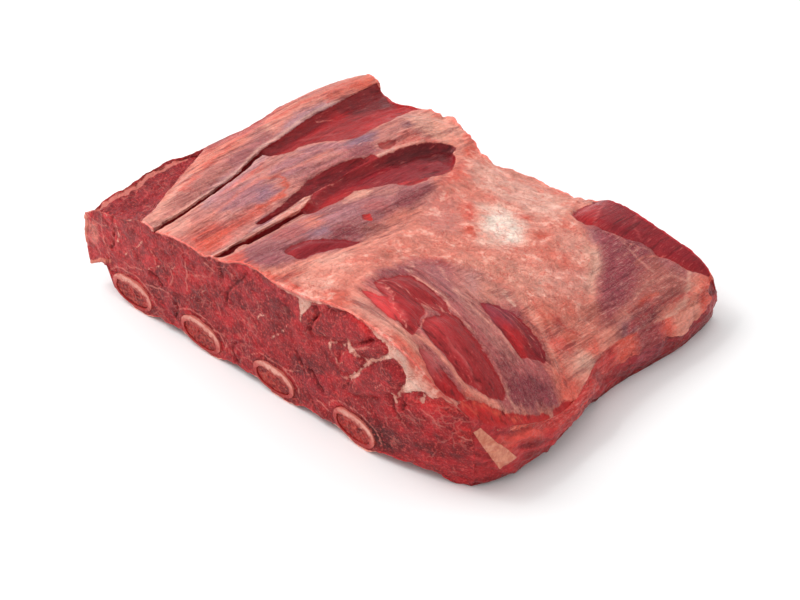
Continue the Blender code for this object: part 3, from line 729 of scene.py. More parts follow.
coverLines = [
    ("orange", 3, 2.5, 0.9, [
        (-95, -1), (-93, 4), (-88, 4), (-82, -1), (-78, -6), (-77, -12), (-76, -20), (-77, -25),
    ]),
    ("coral", 2.5, 2.5, 0.85, [(-54, -70), (-35, -73), (-24, -72), (-13, -68), (2, -70)]),
    ("coral", 1.6, 2, 0.8, [(-99, -73), (-81, -75), (-70, -71), (-57, -72)]),
    ("cream", 1.2, 1.4, 0.8, [(-61, -48), (-61, -33), (-64, -14), (-70, 8), (-71, 25), (-73, 41)]),
    ("blueGrey", 1.2, 1.6, 0.8, [(-69, -33), (-70, -21), (-72, -11), (-75, 1)]),
    ("pale", 1.2, 1.6, 0.85, [
        (17, -11), (25, -19), (34, -21), (41, -20), (48, -20), (56, -24), (63, -24), (71, -25),
    ]),
    ("pale", 1, 1.6, 0.8, [(28, -1), (38, -6), (50, -10), (63, -12), (74, -11), (83, -12), (89, -12)]),
    ("peach", 3.6, 2.2, 0.95, [
        (62, -57), (69, -55), (75, -54), (81, -53), (87, -53), (92, -52), (96, -47), (100, -43),
    ]),
    ("pale", 1.2, 1.5, 0.8, [(96, -31), (100, -33), (104, -33), (106, -31)]),
    ("cream", 1.8, 1.6, 0.85, [(55, 14), (61, 12), (66, 11)]),
    ("purple", 1.6, 2, 0.8, [(74, 12), (82, 10), (89, 7), (96, 3)]),
    ("tan", 1.2, 1.6, 0.9, [(108, -10), (110, -14), (114, -21)]),
    ("tan", 0.9, 1.4, 0.8, [(54, 14), (66, 12), (79, 9)]),
    ("pale", 0.8, 1.3, 0.7, [(63, 18), (77, 15), (90, 10), (100, 4)]),
    ("coral", 1.2, 1.6, 0.7, [(67, 22), (77, 20), (90, 14), (100, 9)]),
    ("brown", 0.8, 1.2, 0.8, [(66, 28), (69, 29), (70, 34), (73, 37)]),
    ("orange", 1.4, 1.8, 0.8, [(94, 75), (94, 84), (95, 92)]),
    ("blood", 0.9, 1.4, 0.7, [(95, 67), (95, 78), (96, 86)]),
    ("tan", 1.2, 1.6, 0.85, [(76, 97), (76, 107), (81, 115), (87, 117), (94, 120)]),
    ("stone", 1.6, 2, 0.8, [(95, 120), (100, 112), (104, 103), (106, 90), (107, 75)]),
    ("pale", 0.9, 1.3, 0.7, [(81, 41), (85, 39), (90, 41)]),
    ("blood", 1.2, 1.6, 0.7, [(80, 27), (87, 26), (91, 31)]),
    ("scarlet", 1.4, 2, 0.6, [(101, 59), (100, 70), (99, 84), (101, 96), (103, 109)]),
    ("pale", 0.8, 1.4, 0.6, [(44, 107), (64, 103), (77, 100), (84, 101)]),
    ("pale", 0.6, 1.4, 0.5, [(69, 91), (70, 108), (79, 117), (91, 125)]),
    ("pale", 0.8, 1.6, 0.6, [(91, 75), (88, 93), (92, 108), (100, 116), (106, 118)]),
    ("coral", 2.5, 5, 0.55, [
        (-122, -50), (-136, -24), (-149, 6), (-150, 33), (-155, 72), (-151, 104), (-146, 124),
    ]),
    ("blush", 4, 8, 0.5, [(-143, 100), (-144, 116), (-146, 128)]),
    ("coral", 2.5, 4, 0.75, [
        (-125, -29), (-134, -5), (-143, 23), (-145, 49), (-147, 74), (-146, 98), (-143, 121),
    ]),
    ("salmon", 2.5, 4, 0.6, [(-87, -52), (-94, -25), (-97, -6), (-93, 21), (-94, 45)]),
    ("salmon", 7, 4, 0.9, edgeFat),
    ("coral", 3, 4, 0.8, edgeFat),
]

# The muscle where it lies bare, on the top.
fleshAreas = [
    ("lean", 6, 1, [
        (-125, 23), (-129, 49), (-133, 71), (-133, 91), (-141, 130), (-106, 145), (-99, 130), (-97, 86),
        (-100, 56), (-110, 31),
    ]),
    # Painted shadow: this deep stroke and the dark one below darken the first field under the overhanging
    # edge of the first strip.
    ("deep", 6, 0.8, [
        (-134, 95), (-138, 114), (-141, 132), (-128, 131), (-116, 119), (-118, 103), (-122, 91),
    ]),
    ("dark", 4, 0.85, [
        (-125, 23), (-127, 40), (-129, 55), (-132, 71), (-132, 83), (-127, 81), (-127, 67), (-124, 52),
        (-121, 35), (-120, 23),
    ]),
    # Painted light: brighter red on the first field's lit right side.
    ("bright", 6, 0.75, [
        (-107, 82), (-112, 102), (-114, 117), (-114, 131), (-104, 135), (-98, 131), (-104, 119), (-99, 99),
        (-96, 84), (-96, 72),
    ]),
    ("wine", 5, 1, [
        (-68, -35), (-74, -7), (-81, 15), (-82, 43), (-76, 60), (-75, 43), (-69, 5), (-63, -28),
    ]),
    # Painted shadow along the second field's deep edge, under the strip beside it.
    ("deep", 3, 0.7, [
        (-66, -32), (-68, -16), (-71, -1), (-74, 19), (-76, 38), (-76, 44), (-78, 36), (-77, 19), (-72, -2),
        (-69, -23),
    ]),
    ("wine", 5, 1, [
        (-58, -11), (-64, 2), (-72, 32), (-72, 65), (-71, 98), (-61, 111), (-44, 92), (-39, 60), (-52, 35),
        (-54, 6),
    ]),
    # Painted shadow at the back of the pocket, under its overhanging lip.
    ("deep", 5, 0.95, [
        (-72, 60), (-72, 80), (-70, 97), (-62, 109), (-55, 104), (-55, 92), (-61, 81), (-63, 68),
    ]),
    ("bright", 5, 0.85, [
        (-58, -11), (-63, 0), (-66, 17), (-66, 28), (-61, 38), (-59, 26), (-56, 14), (-56, 1),
    ]),
    ("wine", 4, 1, [(-32, -50), (-34, -36), (-27, -19), (-15, -11), (-18, -31), (-21, -49)]),
    ("lean", 4, 1, [(20, -42), (24, -17), (54, -23), (55, -42), (63, -59)]),
    ("raw", 5, 0.8, [(38, -43), (41, -36), (50, -37), (56, -45), (62, -57), (56, -58), (46, -52)]),
    ("scarlet", 3, 1, [(21, -50), (36, -47), (52, -53), (50, -60), (29, -55)]),
    ("lean", 4, 1, [(53, -43), (58, -20), (102, -32), (96, -48), (70, -55)]),
    ("fleshRose", 6, 0.8, [
        (57, -44), (58, -35), (67, -38), (78, -42), (87, -43), (93, -46), (89, -49), (80, -50), (70, -51),
        (63, -50),
    ]),
    ("plum", 4, 1, [(55, -4), (61, 6), (69, 9), (76, -1), (72, -7), (66, -8)]),
    ("bright", 4, 0.9, [(68, -4), (74, -2), (81, -2), (87, -4), (90, -9), (84, -10), (77, -9)]),
    ("wine", 4, 0.9, [(70, 8), (78, 10), (90, 7), (97, 2), (92, -3), (85, 0), (78, 2)]),
    ("rose", 4, 0.8, [(68, -61), (72, -57), (80, -57), (83, -63), (78, -65)]),
    ("bright", 4, 0.95, [(80, -63), (83, -58), (94, -55), (92, -64), (88, -68)]),
    ("wine", 6, 1, [(29, 101), (21, 129), (38, 150), (98, 155), (112, 137), (88, 119), (58, 106)]),
    ("bright", 5, 0.7, [(29, 102), (25, 119), (28, 126), (44, 107), (42, 100)]),
    ("blood", 5, 1, [
        (94, -63), (96, -50), (107, -32), (110, -9), (114, 13), (124, 23), (138, -11), (136, -67),
        (109, -70),
    ]),
    ("wine", 4, 0.6, [(98, -58), (105, -45), (110, -35), (108, -48), (102, -60)]),
    ("blood", 4, 1, [(108, 12), (108, 28), (113, 51), (120, 41), (120, 12), (114, 8)]),
    ("bright", 3, 0.8, [(-46, 46), (-44, 59), (-39, 67), (-37, 53), (-41, 44)]),
    ("blood", 3, 1, [(-35, 7), (-31, 13), (-24, 7), (-28, 1)]),
    ("brown", 3, 0.7, [(-82, 69), (-82, 80), (-78, 82), (-74, 73), (-77, 67)]),
    ("blood", 4, 0.6, bareMuscle["lowBand"]),
    ("wine", 6, 0.6, bareMuscle["rawCorner"]),
]
fleshLines = [
    ("fibre", 0.9, 1.4, 0.8, [(70, -44), (77, -44), (83, -44), (89, -45), (93, -46)]),
    ("fibre", 0.8, 1.3, 0.7, [(26, -42), (35, -45), (44, -49), (54, -53)]),
    ("fibre", 1.2, 2, 0.6, [(-123, 50), (-117, 60), (-110, 69)]),
    ("deep", 1.6, 2, 0.7, [(25, -19), (35, -21), (43, -21), (52, -22)]),
    ("fibre", 0.8, 1.2, 0.7, [(32, 126), (38, 113), (45, 101)]),
    ("fibre", 0.8, 1.3, 0.5, [(52, 131), (57, 119), (65, 114)]),
    ("deep", 1.4, 2, 0.7, [(67, 5), (76, 4), (83, 2), (91, 0)]),
    ("orange", 1.2, 1.6, 0.7, [(95, -60), (98, -51), (103, -42), (108, -33)]),
]
paleLines = [
    (0.6, [(-116, 15), (-111, 24), (-110, 38)]),
    (0.8, [(-132, 72), (-131, 77), (-128, 81)]),
    (0.5, [(29, -42), (38, -46), (48, -52), (57, -56)]),
    (0.6, [(53, -38), (58, -45), (61, -54)]),
    (0.5, [(50, -29), (56, -28), (61, -27)]),
    (0.5, [(76, -27), (84, -28), (92, -30), (99, -33)]),
    (0.6, [(54, -8), (65, -9), (76, -11), (87, -14)]),
    (0.5, [(34, 1), (47, -3), (59, -6), (68, -8)]),
    (0.5, [(35, -4), (52, -13), (65, -16)]),
    (0.5, [(58, 0), (67, 2), (77, 1), (87, -1)]),
    (0.5, [(66, 6), (75, 6), (84, 5), (93, 1)]),
    (0.6, [(81, 11), (91, 8), (101, 2)]),
    (0.5, [(19, -40), (27, -40), (38, -44)]),
    (0.5, [(-71, -1), (-71, 15), (-72, 34)]),
    (0.5, [(-61, -17), (-62, -6), (-64, 6)]),
    (0.5, [(-47, -23), (-48, -9), (-42, 4), (-37, 12)]),
    (0.4, [(-37, -27), (-35, -15), (-32, -3)]),
    (0.5, [(-55, 37), (-49, 45), (-43, 53)]),
    (0.5, [(-56, 32), (-55, 36), (-49, 34), (-51, 30), (-55, 30)]),
    (0.4, [(-102, 30), (-98, 41), (-89, 56), (-84, 70)]),
    (0.5, [(52, 102), (60, 106), (65, 106), (72, 108)]),
    (0.5, [(92, 87), (95, 96), (97, 108)]),
    (0.4, [(62, 105), (68, 105), (75, 102)]),
    (0.5, [(111, 58), (109, 66), (109, 72)]),
    (0.5, [(103, 72), (106, 71), (109, 63)]),
    (4.5, [(-158, -70), (-156, -60), (-155, -50), (-154.5, -42), (-157, -32), (-156, -20), (-154, -8)]),
    (0.6, [(24, -38), (33, -36), (42, -35), (50, -32), (57, -29)]),
]

# The sawn face, drawn in (x, z): a web of fat, thin pale seams, creases sunk and darkened with painted shade,
# and round muscles.
fatWeb = [
    (1.3, [(22, 56), (22, 50)]),
    (0.9, [(22, 55), (27, 57), (31, 58), (34, 62)]),
    (1.4, [(34, 62), (34, 56)]),
    (1.3, [(34, 57), (39, 56), (44, 56), (48, 56)]),
    (1.7, [(48, 56), (43, 50), (39, 44), (35, 40)]),
    (0.9, [(35, 40), (31, 37), (28, 38), (27, 43), (25, 46), (24, 49)]),
    (1.9, [(48, 57), (53, 60), (58, 64), (61, 68)]),
    (0.6, [(31, 54), (30, 49), (30, 46)]),
    (0.7, [(27, 45), (31, 47)]),
    (2.2, [(62, 44), (64, 41)]),
    (1.4, [(68, 52), (65, 45)]),
    (1.4, [(79, 53), (81, 52), (78, 47)]),
    (0.9, [(17, 59), (18, 56)]),
    (1.0, [(2, 72), (4, 67), (2, 61)]),
    (0.5, [(2, 61), (2, 57)]),
    (0.9, [(-11, 45), (-15, 40), (-19, 36)]),
    (0.8, [(-7, 50), (-11, 44)]),
    (0.6, [(-131, 33), (-127, 38), (-122, 40), (-117, 46), (-114, 49)]),
    (0.5, [(-112, 32), (-107, 36), (-102, 39), (-97, 42), (-94, 42), (-89, 45)]),
    (0.6, [(-83, 27), (-78, 31), (-73, 34), (-67, 41)]),
    (0.5, [(-29, 42), (-26, 46), (-23, 48)]),
    (0.4, [(-21, 53), (-18, 52), (-18, 49), (-19, 47)]),
    (0.8, [(-135, 50), (-134, 44), (-135, 39)]),
]
seams = [
    [(-162, 50), (-158, 42), (-160, 32), (-163, 22), (-161, 12)],
    [(-151, 60), (-147, 50), (-149, 40), (-145, 28), (-149, 18)],
    [(-159, 46), (-151, 43), (-143, 46)],
    [(79, 43), (84, 41), (86, 38), (90, 37)],
    [(-22, 62), (-20, 59)],
    [(-47, 62), (-45, 60)],
    [(-94, 41), (-92, 37), (-94, 31)],
    [(-81, 52), (-80, 44), (-82, 34)],
    [(-115, 22), (-107, 23), (-100, 25), (-97, 25)],
    [(-139, 50), (-140, 38), (-144, 26)],
    [(-157, 40), (-154, 31), (-152, 23)],
    [(36, 58), (42, 61), (47, 65), (51, 66)],
    [(-63, 18), (-57, 19), (-52, 17), (-54, 12)],
    [(-11, 21), (-6, 22), (2, 27)],
    [(38, 29), (42, 27), (48, 25)],
    [(11, 14), (15, 13), (19, 11)],
    [(101, 56), (103, 51)],
    [(70, 40), (73, 37), (80, 37)],
    [(-132, 28), (-126, 27), (-117, 30)],
    [(-66, 59), (-59, 57)],
    [(-29, 54), (-25, 52)],
    [(-42, 38), (-38, 36)],
    [(52, 44), (57, 48)],
    [(-109, 46), (-105, 43), (-105, 39)],
    [(-78, 48), (-74, 47), (-67, 50)],
    [(96, 34), (100, 33), (105, 34)],
]
creases = [
    [(-55, 67), (-55, 61), (-54, 55)],
    [(-35, 67), (-40, 60), (-46, 54), (-51, 47), (-52, 40)],
    [(12, 70), (14, 68), (11, 61), (8, 54)],
    [(-2, 36), (0, 32), (3, 29)],
    [(7, 30), (11, 26), (15, 21)],
    [(-152, 16), (-146, 18), (-143, 16)],
    [(-111, 31), (-105, 30), (-102, 27)],
    [(-92, 20), (-90, 16), (-93, 11)],
    [(-46, 20), (-50, 12), (-46, 7)],
    [(50, 70), (46, 67), (42, 64)],
    [(61, 42), (62, 35), (66, 31)],
    [(70, 46), (68, 38)],
    [(-138, 54), (-138, 44), (-141, 32)],
    [(92, 58), (96, 54), (102, 52)],
]
roundMuscles = [
    [
        (7, 55), (11, 62), (16, 68), (21, 73), (29, 76), (37, 78), (42, 78), (46, 76), (49, 73), (48, 69),
        (43, 64), (36, 61), (34, 62), (31, 59), (26, 57), (22, 56), (16, 54), (10, 52),
    ],
    [
        (46, 67), (52, 71), (57, 73), (59, 70), (58, 65), (53, 60), (48, 58), (42, 57), (38, 58), (35, 58),
        (40, 63),
    ],
    [
        (35, 41), (40, 47), (45, 53), (52, 58), (60, 62), (65, 63), (67, 61), (68, 57), (67, 51), (65, 45),
        (61, 43), (54, 38), (46, 34), (38, 30), (33, 30), (33, 35),
    ],
    [(66, 42), (68, 47), (73, 51), (78, 53), (80, 51), (76, 45), (71, 41), (67, 40)],
    [
        (27, 50), (31, 54), (35, 57), (39, 57), (43, 57), (46, 56), (45, 53), (40, 46), (35, 41), (30, 40),
        (27, 42),
    ],
]
faceFat = [
    [(-168, 52), (-161, 52), (-159.5, 40), (-162, 28), (-164.5, 18), (-162, 9), (-168, 8)],
    [(-165, 13), (-150, 21.5), (-143, 24), (-143, 22.5), (-150, 19), (-164, 9)],
    [
        (50, 76), (53, 73), (58, 72), (60, 69), (60, 65), (63, 66), (67, 64), (70, 60), (69, 52), (67, 47),
        (70, 49), (76, 53), (80, 54), (83, 52), (90, 55), (96, 60), (101, 63), (92, 69), (86, 74), (79, 79),
        (73, 85), (67, 90), (61, 92), (46, 84),
    ],
    [(2, 78), (6, 77), (10, 71), (5, 64), (2, 62), (1, 69)],
]
sawnAreas = [
    ("fleshRose", 6, 0.9, [(-162, 50), (-137, 61), (-136, 46), (-142, 23), (-159, 11), (-165, 26)]),
    ("pale", 3, 0.4, [(-160, 40), (-153, 44), (-153, 32), (-158, 27)]),
    ("blood", 3, 0.7, [(-139, 41), (-136, 41), (-138, 33), (-141, 31)]),
    ("wine", 8, 0.5, [
        (-47, 51), (-36, 65), (-24, 68), (-9, 72), (1, 73), (1, 65), (-10, 53), (-26, 43), (-39, 42),
        (-47, 42),
    ]),
    ("wine", 8, 0.75, [(1, 34), (9, 36), (16, 31), (21, 23), (15, 14), (4, 12), (-4, 16), (-4, 26)]),
    ("deep", 6, 0.9, [
        (42, 17), (52, 21), (59, 23), (66, 22), (71, 17), (67, 10), (57, 6), (47, 7), (41, 10),
    ]),
    ("wine", 6, 0.6, [(-49, 22), (-35, 27), (-33, 20), (-39, 10), (-50, 7)]),
    ("wine", 6, 0.6, [(-114, 27), (-100, 30), (-91, 26), (-98, 18), (-111, 17)]),
    ("wine", 5, 0.7, [(-99, 20), (-86, 25), (-86, 18), (-93, 9), (-102, 8)]),
    ("dark", 3, 0.6, [(-57, 64), (-50, 67), (-49, 57), (-55, 52)]),
    ("dark", 4, 0.6, [(65, 21), (75, 24), (80, 16), (72, 9), (66, 12)]),
    ("blood", 4, 0.8, [(70, 47), (82, 50), (96, 59), (105, 58), (108, 53), (98, 47), (86, 46), (75, 45)]),
    ("blood", 4, 0.7, [(95, 36), (103, 43), (108, 40), (103, 31), (96, 29)]),
    ("dark", 5, 0.6, [(105, 47), (113, 48), (115, 42), (108, 36), (103, 37)]),
    ("blood", 4, 0.5, [(37, 77), (46, 77), (50, 73), (46, 71), (39, 74)]),
    ("blood", 3, 0.6, [(7, 66), (14, 71), (15, 65), (10, 58)]),
    ("raw", 8, 0.6, [(-83, 26), (-64, 34), (-53, 28), (-57, 19), (-69, 20), (-81, 21)]),
    ("raw", 8, 0.5, [(-139, 24), (-118, 38), (-114, 31), (-129, 22)]),
    ("wine", 6, 0.5, [(-47, 6), (-32, 9), (-28, 4), (-42, 0)]),
    ("fleshRose", 12, 0.7, [(-150, 64), (-112, 66), (-108, 24), (-150, 16)]),
]
webAreas = [
    ("salmon", 6, 0.8, [(-170, 60), (-140, 60), (-140, 0), (-170, 0)]),
    ("orange", 4, 0.8, [
        (57, 80), (67, 77), (73, 73), (86, 63), (96, 61), (86, 57), (76, 63), (67, 72), (60, 75),
    ]),
    ("cream", 4, 0.95, [(49, 63), (67, 76), (75, 62), (82, 54), (70, 46), (65, 63)]),
    ("cream", 3, 0.8, [(1, 75), (10, 76), (10, 66), (0, 60)]),
    ("coral", 3, 0.7, [(82, 57), (98, 61), (102, 57), (86, 52)]),
]

# The right wall, by outline in y and z, and how far the fat hangs down over it.
wallAreas = [
    ("wine", 12, 0.6, [(50, 0), (130, 0), (130, 40), (50, 40)]),
    ("fleshRose", 12, 0.7, [(-70, 8), (20, 8), (20, 60), (-70, 60)]),
    # Painted shade: the dark and deep bands at the lowest heights darken the foot of the walls where the slab
    # meets the floor.
    ("dark", 6, 0.6, [(-60, -6), (20, -6), (16, 6), (-60, 6)]),
    ("coral", 4, 0.5, [(-50, 22), (-10, 20), (-10, 26), (-50, 29)]),
    ("mauve", 6, 0.7, [(60, 6), (80, 6), (84, 24), (60, 24)]),
    ("deep", 5, 0.6, [(30, -6), (140, -6), (140, 3), (30, 3)]),
]
wallCoverAreas = [
    ("scarlet", 8, 0.8, [(-30, 10), (46, 10), (46, 30), (-30, 30)]),
    ("mauve", 6, 0.8, [(62, 0), (82, 0), (82, 40), (62, 40)]),
    ("beige", 6, 0.7, [(88, 0), (112, 0), (112, 40), (88, 40)]),
    ("coral", 6, 0.7, [(118, 0), (140, 0), (140, 40), (118, 40)]),
]
fatHang = [
    (-60, 1.5), (-30, 2), (-10, 5), (5, 12), (25, 15), (40, 15), (60, 12), (90, 12), (115, 10), (130, 2),
]


def topHeight(x, y):
    rows = np.stack([smoothBetween(slab["heightAcross"], row, x) for row in slab["heights"]])
    back = np.array(slab["heightBack"], float)
    slopes = np.gradient(rows, back, axis=0)
    cell, width, t = stationCell(back, y)
    at = np.arange(len(x))
    height = smoothMix(t, width, rows[cell, at], slopes[cell, at], rows[cell + 1, at], slopes[cell + 1, at])
    worn = slab["wornCorner"]
    return height - worn["deep"] * stepUp(x, *worn["x"]) * stepUp(y, *worn["y"])


def underHeight(x, y):
    form = underside
    middles = np.array([rib["x"] for rib in ribs])[:, None]
    left = form["riseLeft"] * eased((middles + form["rest"][0] - x) / form["slopeLeft"])
    right = form["riseRight"] * eased((x - middles - form["rest"][1]) / form["slopeRight"])
    height = np.min(np.maximum(left, right), axis=0) * (x < ribs[-1]["x"] + form["rest"][1])
    tip = form["tipDrop"] * stepUp(x, *form["tip"])
    height += (form["leftLift"] - tip) * stepUp(x, *form["leftEnd"])
    span = stepUp(x, *form["spanFrom"]) * stepUp(x, *form["spanTo"])
    height += form["frontLift"] * span * stepUp(y, *form["front"])
    return height + stepUp(x, *form["rightEnd"]) * np.interp(y, form["sideBack"], form["sideLift"])


def planPoint(u, v):
    front, back = alongCurve(slab["front"], u), alongCurve(slab["back"], u)
    left, right = alongCurve(slab["left"], v), alongCurve(slab["right"], v)
    u, v = u[:, None], v[:, None]
    corners = (1 - u) * (1 - v) * np.array(slab["front"][0]) + u * (1 - v) * np.array(slab["front"][-1])
    corners = corners + (1 - u) * v * np.array(slab["back"][0]) + u * v * np.array(slab["back"][-1])
    return (1 - v) * front + v * back + (1 - u) * left + u * right - corners


def guidedColumns(u, v):
    # Shifts the columns so that the guided ones lie on their lines.
    dense, levels = (np.linspace(0, 1, count) for count in guideSteps)
    marks, placesAt = [0.0], [np.zeros(len(v))]
    for column, line in guides:
        lineX, lineY = np.array(line).T
        shares = []
        for level in levels:
            x, y = planPoint(dense, np.full(len(dense), level)).T
            shares.append(np.interp(0, x - np.interp(y, lineY, lineX), dense))
        marks.append(column / slab["columns"])
        placesAt.append(np.interp(v, levels, shares))
    marks.append(1.0)
    placesAt.append(np.ones(len(v)))
    shifted = u.copy()
    for n in range(len(marks) - 1):
        part = (u >= marks[n]) & (u <= marks[n + 1])
        t = (u[part] - marks[n]) / (marks[n + 1] - marks[n])
        shifted[part] = placesAt[n][part] + t * (placesAt[n + 1][part] - placesAt[n][part])
    return shifted


# Reading and writing whole meshes at once.
def readTriples(rows, field):
    values = np.empty(len(rows) * 3, np.float32)
    rows.foreach_get(field, values)
    return values.reshape(-1, 3).astype(float)


def meshPoints(thing):
    return readTriples(thing.data.vertices, "co")


def pointNormals(thing):
    return readTriples(thing.data.vertices, "normal")


def movePoints(thing, points):
    thing.data.vertices.foreach_set("co", points.astype(np.float32).ravel())
    thing.data.update()


def keepValues(thing, name, values):
    values = np.asarray(values)
    kind, field = ("FLOAT", "value") if values.ndim == 1 else ("FLOAT_VECTOR", "vector")
    held = thing.data.attributes.get(name) or thing.data.attributes.new(name, kind, "POINT")
    held.data.foreach_set(field, values.astype(np.float32).ravel())


def toPart(points):
    # From mm about the mark to the part's own metres, kept just inside the box of the modelled solids.
    low, high = (np.array(corner) for corner in cadBox)
    return np.clip((points + markShift) * mm, low + boxMargin, high - boxMargin)


def selectOnly(*things):
    bpy.ops.object.select_all(action="DESELECT")
    for thing in things:
        thing.select_set(True)
    bpy.context.view_layer.objects.active = things[0]


def editWhole(thing, operator, **settings):
    # Runs one edit-mode operator on the whole mesh.
    selectOnly(thing)
    bpy.ops.object.mode_set(mode="EDIT")
    bpy.ops.mesh.select_all(action="SELECT")
    operator(**settings)
    bpy.ops.object.mode_set(mode="OBJECT")


def faceOutward(thing):
    editWhole(thing, bpy.ops.mesh.normals_make_consistent, inside=False)


def joinedBlock(name, cells):
    # Six grid sheets on the faces of a 1 x 1 x 1 block, joined and merged.
    columns, rows, levels = cells
    quarter = math.pi / 2
    sides = (
        (columns, rows, (0.5, 0.5, 1), (0, 0, 0)),
        (columns, rows, (0.5, 0.5, 0), (2 * quarter, 0, 0)),
        (columns, levels, (0.5, 0, 0.5), (quarter, 0, 0)),
        (columns, levels, (0.5, 1, 0.5), (-quarter, 0, 0)),
        (levels, rows, (0, 0.5, 0.5), (0, -quarter, 0)),
        (levels, rows, (1, 0.5, 0.5), (0, quarter, 0)),
    )
    sheets = []
    for across, along, place, turn in sides:
        bpy.ops.mesh.primitive_grid_add(
            x_subdivisions=across, y_subdivisions=along, size=1, location=place, rotation=turn
        )
        sheets.append(bpy.context.object)
    selectOnly(*sheets)
    bpy.ops.object.join()
    bpy.ops.object.transform_apply(location=True, rotation=True, scale=True)
    made = bpy.context.object
    editWhole(made, bpy.ops.mesh.remove_doubles, threshold=0.0001)
    faceOutward(made)
    made.name = name
    made.data.name = name
    while made.data.uv_layers:
        made.data.uv_layers.remove(made.data.uv_layers[0])
    return made


def applied(thing, kind, **settings):
    step = thing.modifiers.new(kind.lower(), kind)
    for name, value in settings.items():
        setattr(step, name, value)
    selectOnly(thing)
    bpy.ops.object.modifier_apply(modifier=step.name)
    return thing


def cut(thing, tool, operation):
    return applied(thing, "BOOLEAN", operation=operation, object=tool, solver="MANIFOLD")


def copied(thing, name):
    made = thing.copy()
    made.data = thing.data.copy()
    made.name = name
    made.data.name = name
    bpy.context.scene.collection.objects.link(made)
    return made


def removeThings(*things):
    for thing in things:
        bpy.data.objects.remove(thing, do_unlink=True)


# Where the muscle fibres run across instead of back: in the right group, by its outline and soft edge.
crossGroup = {"outline": [
    (14, -10), (40, 2), (60, 8), (112, 8), (118, -70), (30, -70), (16, -50),
], "edge": 14}
stripField = {"outline": [
    (-9, -80), (-5, 0), (-30, 60), (-50, 100), (-60, 140), (130, 140), (130, -80),
], "edge": 8}


def fibresAcross(x, y):
    inside = signedDistance(x, y, crossGroup["outline"], crossGroup["edge"])
    return eased(0.5 - inside / crossGroup["edge"])


def stripShare(x, y):
    # 1 in the long strips at the left, 0 in the fat.
    return eased(0.5 + signedDistance(x, y, stripField["outline"], stripField["edge"]) / stripField["edge"])


# Where each place of the top lies against the drawn forms, after a little wandering of the lines.
def topMarks(places):
    flat = places * np.array((1, 1, 0))
    calmX = places[:, 0]
    calmY = places[:, 1] + noiseAt(flat, (18, 22, 9), 11)
    x = places[:, 0] + 0.9 * layeredNoise(flat, (7, 10, 9), 3, 2)
    y = places[:, 1] + 1.3 * layeredNoise(flat, (8, 12, 9), 3, 12)
    slit = np.zeros(len(x))
    for stations in grooves.values():
        slit = np.maximum(slit, troughDepth(calmX, calmY, stations))
    bare = np.minimum(farAway, 1.8 - 1.5 * slit + 0.6 * layeredNoise(flat, (3, 8, 5), 2, 16))
    depth, field = slit, np.full(len(x), farAway)
    for name, outline in bareMuscle.items():
        away = signedDistance(x, y, outline)
        if name not in hollows:
            bare = np.minimum(bare, away)
            continue
        field = np.minimum(field, away)
        hollow = hollows[name]
        beside = lineDistance(calmX, calmY, hollow["edge"], 2 * hollow["width"])
        fall = hollow["shallow"] + (hollow["deep"] - hollow["shallow"]) * eased(1 - beside / hollow["width"])
        calm = signedDistance(calmX, calmY, outline)
        bare = np.minimum(bare, calm - 1.0)
        depth = np.maximum(depth, fall * eased(0.35 - calm / 3.0))
    return {
        "x": x, "y": y, "depth": depth, "slit": slit, "bare": bare, "field": field,
        "fat": signedDistance(x, y, fatCap["outline"]), "lines": nearestLine(x, y, paleLines),
    }


# Long low crowns of the top: line, half width and rise, in mm.
crowns = (
    ([(-115, -72), (-122, -40), (-133, 0), (-140, 40), (-146, 80), (-149, 132)], 13, 3.4),
    ([(-86, -72), (-92, -20), (-99, 20), (-94, 60), (-89, 100)], 21, 3.6),
    ([(-60, -72), (-61, -35), (-64, 0)], 5, 1.8),
    ([(-35, -68), (-36, -20), (-38, 20), (-36, 60)], 17, 3.2),
    ([(23, -34), (65, -35), (99, -32)], 30, 2.5),
)
crownFull = 1.15


def stripCrown(x, y):
    total = np.zeros(len(x))
    for line, halfWidth, rise in crowns:
        total += rise * eased(crownFull - lineDistance(x, y, line, 2 * halfWidth) / halfWidth)
    return total


# The bare muscles that stand out of the top, and how their middles rise and their edges sink.
blades = {
    "names": ("bladeA", "bladeSliver", "bladeB", "bladeC", "bladeD", "backLobe", "wedge"),
    "rise": 1.5, "over": 7, "sink": 0.35, "edge": 2.2,
}


def bladeRelief(x, y):
    total = np.zeros(len(x))
    for name in blades["names"]:
        away = signedDistance(x, y, bareMuscle[name])
        total += blades["rise"] * eased(-away / blades["over"])
        total -= blades["sink"] * eased(1 - np.abs(away) / blades["edge"])
    return total


# Heights in mm of what makes up the relief of the top.
topForm = {
    "fatRise": 0.7, "lumps": 0.95, "fine": 0.4, "lumpsLeast": 0.25, "strips": 0.26, "group": 0.42,
    "bareDrop": 0.9, "lineRise": 0.25, "rawGrain": 1.0, "rawRidges": 0.7, "rawDrop": 1.6,
    "fieldGrain": 0.35, "fieldRidges": 0.5,
}


